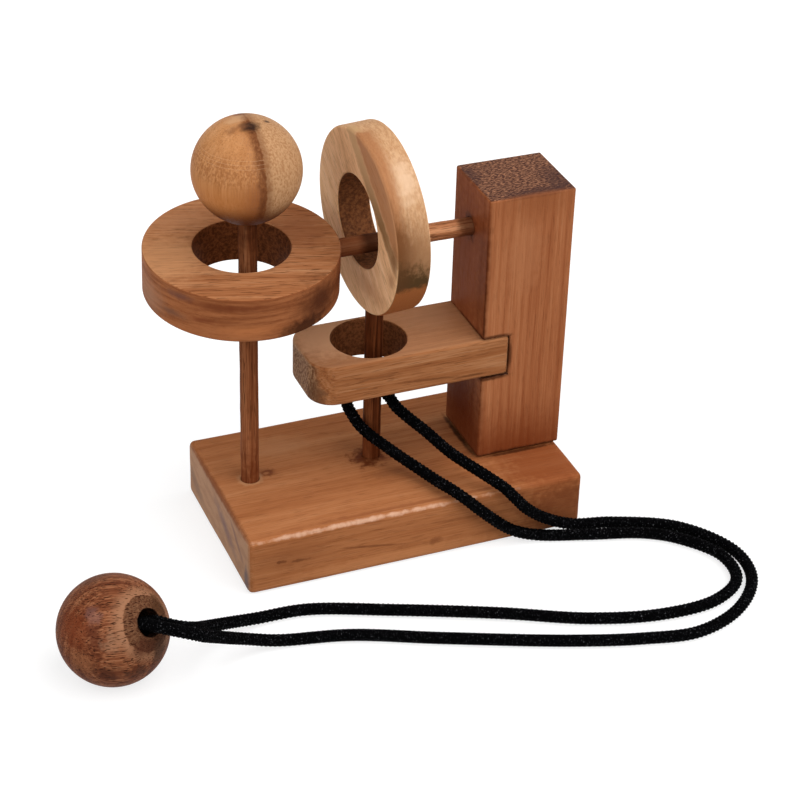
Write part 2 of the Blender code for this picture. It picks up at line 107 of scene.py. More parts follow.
bead_low, bead_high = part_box("bead")
bead_centre = middle("bead")
bead_radius = (bead_high.z - bead_low.z) / 2
bore_axis = Vector((
    math.cos(BORE_RISE) * math.cos(BORE_TURN),
    math.cos(BORE_RISE) * math.sin(BORE_TURN),
    math.sin(BORE_RISE)))
along_bore = bore_axis.to_track_quat("Z", "Y").to_matrix().to_4x4()
away = (TABLE_RUN - bore_axis * TABLE_RUN.dot(bore_axis)).normalized()
above = bore_axis.cross(away)
beside = away * math.cos(STRAND_LEAN) + above * math.sin(STRAND_LEAN)
bore_mouth = bead_centre + bore_axis * math.sqrt(bead_radius ** 2 - (BEAD_BORE / 2) ** 2)
print("bore mouth:", [round(value, 4) for value in bore_mouth])

# %% Points that the cord passes
CORD_LIE = 2.2
OVER_BEND = [
    (5.2, -1.1, -2), (8.8, 2.2, -3.1), (10.6, 7.2, -3.7), (10.1, 12.6, -3.7),
]
UNDER_BEND = [
    (3.6, 3, -0.4), (6, 5.4, -1.2), (6.9, 9, -1.3), (5.7, 13.5, -0.7),
]
OVER_RUN = [
    (-82.3, -68.7, 16.3), (-70.8, -62, 7.4), (-59.4, -60.6, 2.7), (-37, -65.2, CORD_LIE),
    (-10, -76.7, CORD_LIE), (28.5, -92.2, CORD_LIE), (50.5, -99, CORD_LIE), (69, -102, CORD_LIE),
    (87, -95.7, CORD_LIE), (99.5, -82.2, CORD_LIE), (101.3, -66.7, CORD_LIE), (90, -48.3, CORD_LIE),
    (69.3, -37.8, CORD_LIE), (56, -35.3, 3), (45.7, -35.3, 7.8), (38.4, -35.7, 13.4), (33, -36, 19.7),
    (29.9, -34.3, 23.2), (25.6, -29.2, 25.7), (16.6, -18.6, 30.6), (10.6, -9.8, 35.4),
    (6.8, -2.8, 37.7), (4.8, 2.6, 39), (4.3, 7.4, 40), (2.8, 11.9, 40.6), (-1, 14.7, 40.9),
]
UNDER_RUN = [
    (-5.7, 14.7, 40.9), (-9.4, 11.9, 40.6), (-10.9, 7.4, 39.8), (-10.5, 3.4, 38.2), (-9.3, 0.2, 36),
    (-6.9, -2.6, 33.5), (-3.4, -5.5, 30.8), (0.6, -9.7, 28.1), (6.2, -17.2, 25.2), (9.5, -24.5, 24.5),
    (12.2, -30.8, 24.4), (15.8, -34.6, 22.1), (20.6, -35.7, 17.4), (33, -35.3, 6.1), (42.5, -36.3, 2.4),
    (59, -41.6, CORD_LIE), (77, -47.3, CORD_LIE), (86.9, -54.2, CORD_LIE), (96, -67.7, CORD_LIE),
    (94.3, -81.2, CORD_LIE), (82, -89.1, CORD_LIE), (61.7, -89.7, CORD_LIE), (39, -83.7, CORD_LIE),
    (12.7, -71.2, CORD_LIE), (-19.5, -57.7, CORD_LIE), (-45.5, -48, CORD_LIE), (-62.6, -47.8, 3),
    (-73.5, -52.2, 7.3), (-83.8, -59.9, 14.1),
]


def strand(side, bend):
    """One end of the cord, from the knot along the bore and round the bend at the mouth."""
    shift = beside * side * (CORD_DIAMETER + CORD_SIDE_GAP) / 2
    points = [bead_centre + bore_axis * reach + shift for reach in (-BEAD_SHOULDER, STRAND_STRAIGHT)]
    return points + [bore_mouth + (bore_axis * out + away * off + above * up) * MM for out, off, up in bend]


cord_route = strand(-1, OVER_BEND) + [Vector(point) * MM for point in OVER_RUN + UNDER_RUN]
cord_route += strand(1, UNDER_BEND)[::-1]
print("cord route:", len(cord_route), "points")

# %% One smooth curve through the points
CORD_SECTION = 0.0003


def smooth_curve(route, step):
    """Points on a centripetal Catmull-Rom curve through a route, about a step apart."""
    ends = [route[0] * 2 - route[1]] + route + [route[-1] * 2 - route[-2]]
    points = []
    for before, start, end, after in zip(ends, ends[1:], ends[2:], ends[3:]):
        knots = [0.0]
        for first, second in ((before, start), (start, end), (end, after)):
            knots.append(knots[-1] + math.sqrt((second - first).length))
        t0, t1, t2, t3 = knots
        count = math.ceil((end - start).length / step)
        for index in range(count):
            t = t1 + (t2 - t1) * index / count
            a = before.lerp(start, (t - t0) / (t1 - t0))
            b = start.lerp(end, (t - t1) / (t2 - t1))
            c = end.lerp(after, (t - t2) / (t3 - t2))
            d = a.lerp(b, (t - t0) / (t2 - t0))
            e = b.lerp(c, (t - t1) / (t3 - t1))
            points.append(d.lerp(e, (t - t1) / (t2 - t1)))
    return points + [route[-1]]


def even_steps(points, step):
    """The same line again, as an array of points an even step apart."""
    line = np.array(points)
    lengths = np.concatenate([[0.0], np.cumsum(np.linalg.norm(np.diff(line, axis=0), axis=1))])
    marks = np.linspace(0.0, lengths[-1], round(lengths[-1] / step) + 1)
    return np.stack([np.interp(marks, lengths, line[:, axis]) for axis in range(3)], axis=1), lengths[-1]


cord_line, cord_length = even_steps(smooth_curve(cord_route, CORD_SECTION), CORD_SECTION)
print(f"cord: {cord_length:.3f} m from knot to knot")

# %% [markdown]
# ## The braid
#
# The cord is braided, so its edge is scalloped and its surface is a lattice of small humps where one
# yarn passes over another. A plain tube with a bump texture would keep a straight edge. Here the tube
# itself rises and falls: yarns wind both ways round the cord, and where two waves meet there is a hump.

# %% A tube with the relief of a braid
BRAID_SIDES = 30
BRAID_YARNS = 6
BRAID_PITCH = 0.0016
BRAID_RELIEF = 0.00036


def braided_tube(name, line, radius):
    """A closed tube along a line of points, with the humps of a braid and a map of them for its finish."""
    along = np.gradient(line, axis=0)
    along /= np.linalg.norm(along, axis=1, keepdims=True)
    side = np.cross(along[0], (0.0, 0.0, 1.0))
    sides = []
    for tangent in along:
        side = side - tangent * side.dot(tangent)
        side /= np.linalg.norm(side)
        sides.append(side)
    sides = np.array(sides)
    ups = np.cross(along, sides)
    lengths = np.concatenate([[0.0], np.cumsum(np.linalg.norm(np.diff(line, axis=0), axis=1))])
    turn = np.arange(BRAID_SIDES) * math.tau / BRAID_SIDES
    round_it = BRAID_YARNS * turn[None, :]
    along_it = math.tau * lengths[:, None] / BRAID_PITCH
    humps = (1 + np.cos(round_it + along_it)) * (1 + np.cos(round_it - along_it)) / 4
    reach = (radius + BRAID_RELIEF * (humps - 0.5))[..., None]
    spokes = np.cos(turn)[None, :, None] * sides[:, None] + np.sin(turn)[None, :, None] * ups[:, None]
    corners = (line[:, None] + reach * spokes).reshape(-1, 3)

    row, column = np.meshgrid(np.arange(len(line) - 1), np.arange(BRAID_SIDES), indexing="ij")
    steps = ((0, 0), (0, 1), (1, 1), (1, 0))
    quads = [(row + down) * BRAID_SIDES + (column + right) % BRAID_SIDES for down, right in steps]
    quads = np.stack(quads, axis=-1).reshape(-1, 4)
    caps = [list(range(BRAID_SIDES)), list(range(len(corners) - 1, len(corners) - 1 - BRAID_SIDES, -1))]
    mesh = bpy.data.meshes.new(name)
    mesh.from_pydata(corners.tolist(), [], quads.tolist() + caps)
    mesh.shade_smooth()

    around = np.stack([(column + right) / BRAID_SIDES * BRAID_YARNS for down, right in steps], axis=-1)
    down_line = np.stack([lengths[row + down] / BRAID_PITCH for down, right in steps], axis=-1)
    places = np.stack([around, down_line], axis=-1).reshape(-1, 2)
    places = np.concatenate([places, np.zeros((2 * BRAID_SIDES, 2))])
    braid_map = mesh.uv_layers.new(name="braid")
    braid_map.data.foreach_set("uv", places.astype(np.float32).ravel())
    tube = bpy.data.objects.new(name, mesh)
    bpy.context.scene.collection.objects.link(tube)
    return tube


braided_cord = braided_tube("braided_cord", cord_line, CORD_DIAMETER / 2)
print("braided cord:", len(braided_cord.data.polygons), "faces")

# %% [markdown]
# ## The knot
#
# Both ends of the cord are tied together behind the bead, in a wider hole that takes the knot. It is
# seen only from behind. A trefoil is the closed form of an overhand knot, so a tube along one, flattened
# until it fits the hole, has the right turns.

# %% Knot in the counterbore
KNOT_SIZE = 0.0112
KNOT_LENGTH = 0.0076
KNOT_CORD_RADIUS = 0.0017
KNOT_STEPS = 240

knot_place = Matrix.Translation(middle("cord_knot")) @ along_bore
knot_reach = (KNOT_SIZE / 2 - KNOT_CORD_RADIUS - BRAID_RELIEF) / 3
knot_rise = KNOT_LENGTH / 2 - KNOT_CORD_RADIUS - BRAID_RELIEF
knot_points = []
for step in range(KNOT_STEPS + 1):
    t = math.tau * step / KNOT_STEPS
    knot_points.append(knot_place @ Vector((
        knot_reach * (math.sin(t) + 2 * math.sin(2 * t)),
        knot_reach * (math.cos(t) - 2 * math.cos(2 * t)),
        -knot_rise * math.sin(3 * t))))
cord_end_knot = braided_tube("cord_end_knot", even_steps(knot_points, CORD_SECTION)[0], KNOT_CORD_RADIUS)
print("knot:", len(cord_end_knot.data.polygons), "faces")

# %% [markdown]
# ## Working by hand, in code
#
# Every wooden piece starts as a primitive and is shaped in edit mode, as at the keyboard. The helpers
# here do what the hand does each time: clear the selection, pick edges or faces by a rule, apply a
# modifier, and leave the finished piece at the origin with its place in its mesh.

# %% Helpers for selecting
SHARP_ANGLE = math.radians(50)


def clear_selection():
    """Object mode with nothing selected, so that an operator touches only what comes next."""
    if bpy.context.object and bpy.context.object.mode != "OBJECT":
        bpy.ops.object.mode_set(mode="OBJECT")
    bpy.ops.object.select_all(action="DESELECT")


def only(piece):
    """Make a piece the one that operators act on."""
    clear_selection()
    piece.select_set(True)
    bpy.context.view_layer.objects.active = piece
    return piece


def named(name):
    """Name the primitive that was just added."""
    piece = bpy.context.object
    piece.name = name
    piece.data.name = name
    return piece


def pick(piece, kind, rule):
    """In edit mode, select the vertices, edges or faces that a rule accepts."""
    only(piece)
    bpy.ops.object.mode_set(mode="EDIT")
    bpy.ops.mesh.select_mode(type=kind)
    bpy.ops.mesh.select_all(action="DESELECT")
    shape = bmesh.from_edit_mesh(piece.data)
    shape.normal_update()
    for part in {"VERT": shape.verts, "EDGE": shape.edges, "FACE": shape.faces}[kind]:
        if rule(part):
            part.select_set(True)
    bmesh.update_edit_mesh(piece.data)


def is_sharp(edge):
    return edge.calc_face_angle(0.0) > SHARP_ANGLE


print("an edge counts as sharp over", round(math.degrees(SHARP_ANGLE)), "degrees")

# %% Helpers for shaping
SMOOTH_ANGLE = math.radians(32)
FLAT_WEIGHT = 80
DRILL_SIDES = 64


def round_edges(piece, width, steps, rule=is_sharp):
    """Bevel the edges that a rule accepts."""
    pick(piece, "EDGE", rule)
    bpy.ops.mesh.bevel(offset=width, segments=steps, affect="EDGES")


def modify(piece, kind, **settings):
    """Add a modifier to a piece and apply it at once."""
    only(piece)
    modifier = piece.modifiers.new(kind.lower(), kind)
    for setting, value in settings.items():
        setattr(modifier, setting, value)
    bpy.ops.object.modifier_apply(modifier=modifier.name)


def settle(piece, place=Matrix.Identity(4)):
    """Put a piece in its place, with its object left at the origin, unturned and unscaled."""
    only(piece)
    piece.matrix_world = place @ piece.matrix_world
    bpy.ops.object.transform_apply(location=True, rotation=True, scale=True)
    return piece


def block(name, low, high):
    """A cube scaled to the box between two corners."""
    clear_selection()
    bpy.ops.mesh.primitive_cube_add(size=1.0)
    cube = named(name)
    cube.scale = high - low
    cube.location = (low + high) / 2
    return settle(cube)


def cut(piece, tool):
    """Cut a tool's shape out of a piece, and put the tool away."""
    modify(piece, "BOOLEAN", operation="DIFFERENCE", solver="EXACT", object=tool)
    bpy.data.objects.remove(tool)


def drill(piece, radius, start, end, sides=DRILL_SIDES):
    """Drill a round hole between two points."""
    clear_selection()
    depth = (end - start).length
    bpy.ops.mesh.primitive_cylinder_add(vertices=sides, radius=radius, depth=depth)
    bit = named("drill")
    turn = (end - start).to_track_quat("Z", "Y").to_matrix().to_4x4()
    cut(piece, settle(bit, Matrix.Translation((start + end) / 2) @ turn))


def shade(piece):
    """Smooth shading that keeps flat faces flat beside their rounded edges."""
    only(piece)
    bpy.ops.object.shade_smooth_by_angle(angle=SMOOTH_ANGLE)
    modify(piece, "WEIGHTED_NORMAL", keep_sharp=True, weight=FLAT_WEIGHT)
    print(f"{piece.name}: {len(piece.data.polygons)} faces")


print("faces shade as one up to", round(math.degrees(SMOOTH_ANGLE)), "degrees")

# %% [markdown]
# ## Unevenness
#
# Sawn and sanded wood is never quite flat. A Displace modifier with a soft cloud texture takes away a
# fraction of a millimetre here and there, which breaks up the light along the arrises. It only takes
# wood away, so no piece grows past its solid.

# %% Sandpaper
CLOUD_DEPTH = 2


def sanded(piece, depth, grain):
    """Rub up to a depth of wood off a piece, in patches of about the grain's size."""
    cloud = bpy.data.textures.new("sanding", "CLOUDS")
    cloud.noise_scale = grain
    cloud.noise_depth = CLOUD_DEPTH
    modify(piece, "DISPLACE", texture=cloud, strength=-depth, mid_level=0.0, texture_coords="LOCAL")
    print(f"{piece.name}: up to {depth / MM:.2f} mm sanded off")


# %% [markdown]
# ## Base and post
#
# Both are sawn blocks. A cube is scaled to the solid's box, its edges are bevelled to the arris that
# sandpaper leaves, and it is subdivided so that the unevenness has points to move. The post has a notch
# for the shelf, and dowels stand in drilled sockets, so the joint lines are real gaps.

# %% A sawn block, and the base with its sockets
BASE_ARRIS = 0.0022
SOCKET_RADIUS = 0.00325
SOCKET_DEPTH = 0.0090
ARRIS_STEPS = 4
BLOCK_CUTS = 5
SANDING_PER_ARRIS = 6
BLOCK_PATCH = 0.008


def sawn_block(name, low, high, arris):
    """A block between two corners with rounded, slightly uneven arrises."""
    sawn = block(name, low, high)
    round_edges(sawn, arris, ARRIS_STEPS)
    bpy.ops.mesh.select_all(action="SELECT")
    bpy.ops.mesh.subdivide(number_cuts=BLOCK_CUTS)
    sanded(sawn, arris / SANDING_PER_ARRIS, BLOCK_PATCH)
    return sawn


base_low, base_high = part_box("base")
dowel_axis = {name: middle(name) for name in ("ball_dowel", "ring_dowel", "cross_dowel")}
socket_depth = Vector((0, 0, SOCKET_DEPTH))
teak_base = sawn_block("teak_base", base_low, base_high, BASE_ARRIS)
for name in ("ball_dowel", "ring_dowel"):
    spot = Vector((*dowel_axis[name].xy, base_high.z))
    drill(teak_base, SOCKET_RADIUS, spot - socket_depth, spot + socket_depth)
shade(teak_base)

# %% Post with its notch
POST_ARRIS = 0.0008
JOINT_GAP = 0.0004

post_low, post_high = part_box("post")
shelf_low, shelf_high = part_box("shelf")
teak_post = sawn_block("teak_post", post_low, post_high, POST_ARRIS)
notch_reach = Vector((post_low.x - shelf_low.x, shelf_high.y - shelf_low.y, 0))
notch_low = Vector((post_low.x, post_low.y, shelf_low.z - JOINT_GAP)) - notch_reach
notch_high = Vector((shelf_high.x + JOINT_GAP, post_high.y, shelf_high.z + JOINT_GAP))
notch_high.y += notch_reach.y
cut(teak_post, block("notch", notch_low, notch_high))
cross_mouth = Vector((post_low.x, *dowel_axis["cross_dowel"].yz))
cross_depth = Vector((SOCKET_DEPTH, 0, 0))
drill(teak_post, SOCKET_RADIUS, cross_mouth - cross_depth, cross_mouth + cross_depth)
shade(teak_post)

# %% [markdown]
# ## Shelf
#
# The shelf is a plate with two rounded free corners and a round hole near them. The corners come from
# bevelling two upright edges of a block, then its rims get a small arris, and the hole's own rims are
# bevelled last, because drilling makes them sharp.

# %% Shelf with its hole
SHELF_CORNER = 0.0085
SHELF_ARRIS = 0.0012
HOLE_ARRIS = 0.0006
SHELF_HOLE_RADIUS = 0.0127
SHELF_HOLE_SHIFT = -0.0019
HOLE_SIDES = 96
CORNER_STEPS = 10
RIM_STEPS = 3


def is_free_corner(edge):
    """An upright edge at the shelf's free end."""
    ends = [vert.co for vert in edge.verts]
    return all(abs(end.x - shelf_low.x) < MM for end in ends) and abs(ends[0].z - ends[1].z) > MM


teak_shelf = block("teak_shelf", shelf_low, shelf_high)
round_edges(teak_shelf, SHELF_CORNER, CORNER_STEPS, is_free_corner)
round_edges(teak_shelf, SHELF_ARRIS, RIM_STEPS)
hole_place = dowel_axis["ring_dowel"] + Vector((SHELF_HOLE_SHIFT, 0, 0))
hole_low = Vector((*hole_place.xy, shelf_low.z - SHELF_CORNER))
hole_high = Vector((*hole_place.xy, shelf_high.z + SHELF_CORNER))
drill(teak_shelf, SHELF_HOLE_RADIUS, hole_low, hole_high, HOLE_SIDES)
round_edges(teak_shelf, HOLE_ARRIS, RIM_STEPS)
shade(teak_shelf)

# %% [markdown]
# ## Rings
#
# The rings were turned on a lathe. A cylinder's two caps are inset to the hole's size and bridged, which
# opens the hole, and the four rims are bevelled. A torus would be round in section, and these are flat.

# %% Turned rings
FLAT_RING = {"outer": 0.0630, "hole": 0.0312, "thickness": 0.0155, "edge": 0.0006}
FLAT_ROLL = math.radians(3.9)
UPRIGHT_RING = {"outer": 0.0622, "hole": 0.0311, "thickness": 0.0117, "edge": 0.0010}
UPRIGHT_TURN = math.radians(3.0)
UPRIGHT_LEAN = math.radians(-1.8)
RING_SIDES = 128
RING_EDGE_STEPS = 5


def is_cap(face):
    return abs(face.normal.z) > 0.9


def turned_ring(name, outer, hole, thickness, edge, place):
    """A flat ring with eased rims."""
    clear_selection()
    bpy.ops.mesh.primitive_cylinder_add(vertices=RING_SIDES, radius=outer / 2, depth=thickness)
    ring = named(name)
    pick(ring, "FACE", is_cap)
    bpy.ops.mesh.inset(thickness=(outer - hole) / 2)
    pick(ring, "FACE", lambda face: is_cap(face) and len(face.verts) > 4)
    bpy.ops.mesh.bridge_edge_loops()
    round_edges(ring, edge, RING_EDGE_STEPS)
    return settle(ring, place)


flat_place = Matrix.Translation(middle("flat_ring")) @ Matrix.Rotation(FLAT_ROLL, 4, "X")
teak_flat_ring = turned_ring("teak_flat_ring", place=flat_place, **FLAT_RING)
upright_turn = Matrix.Rotation(UPRIGHT_TURN, 4, "Z") @ Matrix.Rotation(UPRIGHT_LEAN + math.pi / 2, 4, "Y")
upright_place = Matrix.Translation(middle("upright_ring")) @ upright_turn
teak_upright_ring = turned_ring("teak_upright_ring", place=upright_place, **UPRIGHT_RING)

flat_floor = Vector((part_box("cross_dowel")[0].x, *dowel_axis["cross_dowel"].yz))
drill(teak_flat_ring, SOCKET_RADIUS, flat_floor, flat_floor + 2 * cross_depth)
ring_top = Vector((*dowel_axis["ring_dowel"].xy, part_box("ring_dowel")[1].z))
drill(teak_upright_ring, SOCKET_RADIUS, ring_top - 2 * socket_depth, ring_top)
shade(teak_flat_ring)
shade(teak_upright_ring)

# %% [markdown]
# ## Ball and bead
#
# Both are turned balls. The ball on the tall dowel is a little narrower below its middle, so each row of
# points there is drawn in. The bead is bored right through for the cord, with a wider hole behind.

# %% Turned balls
BALL_SIDES = 96
BALL_ROWS = 64
BALL_TAPER = 0.05
COUNTERBORE = 0.0126
SAME_ROW = 1e-5


def turned_ball(name, radius, taper):
    """A ball about the origin, drawn in below its middle."""
    clear_selection()
    bpy.ops.mesh.primitive_uv_sphere_add(segments=BALL_SIDES, ring_count=BALL_ROWS, radius=radius)
    ball = named(name)
    if taper:
        for height in sorted({round(vert.co.z, 6) for vert in ball.data.vertices if vert.co.z < -MM}):
            pick(ball, "VERT", lambda vert: abs(vert.co.z - height) < SAME_ROW)
            narrow = 1.0 - taper * (height / radius) ** 2
            bpy.ops.transform.resize(value=(narrow, narrow, 1.0), center_override=(0.0, 0.0, height))
    return ball


ball_low, ball_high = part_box("top_ball")
teak_ball = turned_ball("teak_ball", (ball_high.z - ball_low.z) / 2, BALL_TAPER)
settle(teak_ball, Matrix.Translation(middle("top_ball")))
ball_foot = Vector((*dowel_axis["ball_dowel"].xy, ball_low.z))
drill(teak_ball, SOCKET_RADIUS, ball_foot - socket_depth, ball_foot + socket_depth)
shade(teak_ball)

teak_bead = turned_ball("teak_bead", bead_radius, 0.0)
settle(teak_bead, Matrix.Translation(bead_centre) @ along_bore)
bore_reach = bore_axis * bead_radius * 2
drill(teak_bead, BEAD_BORE / 2, bead_centre - bore_reach, bead_centre + bore_reach)
drill(teak_bead, COUNTERBORE / 2, bead_centre - bore_reach, bead_centre - bore_axis * BEAD_SHOULDER)
shade(teak_bead)

# %% [markdown]
# ## Dowels
#
# Three dowels come from one stick. Each is a cylinder with its ends eased and its side cut into short
# lengths, so that the sandpaper can make it as uneven as a hand-made dowel is.

# %% A dowel in place of its solid
STICK_SIDES = 40
STICK_CUTS = 30
STICK_EDGE = 0.0004
STICK_EDGE_STEPS = 2
STICK_SANDING = 0.00025
STICK_PATCH = 0.004


def stick(name, node):
    """A dowel along the longest side of its solid's box."""
    low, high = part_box(node)
    size = high - low
    longest = max(range(3), key=lambda axis: size[axis])
    clear_selection()
    bpy.ops.mesh.primitive_cylinder_add(vertices=STICK_SIDES, radius=min(size) / 2, depth=size[longest])
    dowel = named(name)
    pick(dowel, "EDGE", lambda edge: abs(edge.verts[0].co.z - edge.verts[1].co.z) > MM)
    bpy.ops.mesh.subdivide(number_cuts=STICK_CUTS)
    round_edges(dowel, STICK_EDGE, STICK_EDGE_STEPS)
    turn = Matrix.Rotation(math.pi / 2, 4, "Y") if longest == 0 else Matrix.Identity(4)
    settle(dowel, Matrix.Translation(middle(node)) @ turn)
    sanded(dowel, STICK_SANDING, STICK_PATCH)
    shade(dowel)
    return dowel


ball_stick = stick("ball_stick", "ball_dowel")
ring_stick = stick("ring_stick", "ring_dowel")
cross_stick = stick("cross_stick", "cross_dowel")

# %% [markdown]
# ## Shader sums
#
# A finish is a tree of nodes, and most of its nodes are arithmetic. Wrapping a socket in a small class
# lets Python's own operators add the Math nodes, so a mask reads as a formula. One method of the finish
# adds every other node.

# %% Sockets that do sums
def feed(slot, value):
    """Link a shader value into a socket, or write a plain one there."""
    if isinstance(value, Wire):
        slot.id_data.links.new(value.socket, slot)
    elif slot.type == "RGBA":
        slot.default_value = (*value, 1.0)
    else:
        slot.default_value = value


class Wire:
    """A shader value. Sums with it add Math nodes."""

    def __init__(self, socket):
        self.socket = socket

    def sum(self, operation, first, second):
        node = self.socket.id_data.nodes.new("ShaderNodeMath")
        node.operation = operation
        feed(node.inputs[0], first)
        feed(node.inputs[1], second)
        return Wire(node.outputs[0])

    def __add__(self, other):
        return self.sum("ADD", self, other)

    def __sub__(self, other):
        return self.sum("SUBTRACT", self, other)

    def __rsub__(self, other):
        return self.sum("SUBTRACT", other, self)

    def __mul__(self, other):
        return self.sum("MULTIPLY", self, other)

    def __truediv__(self, other):
        return self.sum("DIVIDE", self, other)

    def __rtruediv__(self, other):
        return self.sum("DIVIDE", other, self)

    __radd__ = __add__
    __rmul__ = __mul__


class Finish:
    """One material, and the method that adds any node to it."""

    def __init__(self, name):
        self.material = bpy.data.materials.new(name)
        self.material.use_nodes = True
        self.tree = self.material.node_tree
        self.shader = self.tree.nodes["Principled BSDF"]

    def add(self, kind, settings, inputs, output=0):
        node = self.tree.nodes.new("ShaderNode" + kind)
        for setting, value in settings.items():
            if setting == "stops":
                while len(node.color_ramp.elements) < len(value):
                    node.color_ramp.elements.new(0.5)
                for element, (place, colour) in zip(node.color_ramp.elements, value):
                    element.position = place
                    element.color = (*colour, 1.0)
            else:
                setattr(node, setting, value)
        for slot, value in inputs.items():
            feed(node.inputs[slot], value)
        return Wire(node.outputs[output])

    def set(self, **values):
        """Write or link the shader's own sockets; an underscore stands for a space."""
        for slot, value in values.items():
            feed(self.shader.inputs[slot.replace("_", " ")], value)
        return self.material

    def stretch(self, vector, factors):
        return self.add("VectorMath", {"operation": "MULTIPLY"}, {0: vector, 1: factors})

    def noise(self, vector, factors, detail=2.0, roughness=0.5):
        """Noise whose features are one over the factors in size, along each axis."""
        where = self.stretch(vector, factors)
        return self.add("TexNoise", {}, {
            "Vector": where, "Scale": 1.0, "Detail": detail, "Roughness": roughness})

    def ease(self, value, low, high):
        """Nothing at low, all at high, and smooth between."""
        ends = {"Value": value, "From Min": low, "From Max": high}
        return self.add("MapRange", {"interpolation_type": "SMOOTHSTEP"}, ends)

    def blend(self, share, first, second):
        """The first colour, with a share of the second."""
        return self.add("Mix", {"data_type": "RGBA"}, {0: share, 6: first, 7: second}, 2)

    def millimetres(self):
        """The point that is shaded, in the piece's own coordinates."""
        point = self.add("TexCoord", {}, {}, "Object")
        return self.add("VectorMath", {"operation": "SCALE"}, {0: point, "Scale": 1.0 / MM})

    def length(self, vector):
        return self.add("VectorMath", {"operation": "LENGTH"}, {0: vector}, "Value")

    def local(self, point, place, turn=(0.0, 0.0, 0.0), size=(1.0, 1.0, 1.0)):
        """A point as measured from a place, in turned and scaled axes."""
        frame_of = {"Vector": point, "Location": place, "Rotation": turn, "Scale": size}
        return self.add("Mapping", {"vector_type": "TEXTURE"}, frame_of)


print("shader sums ready")
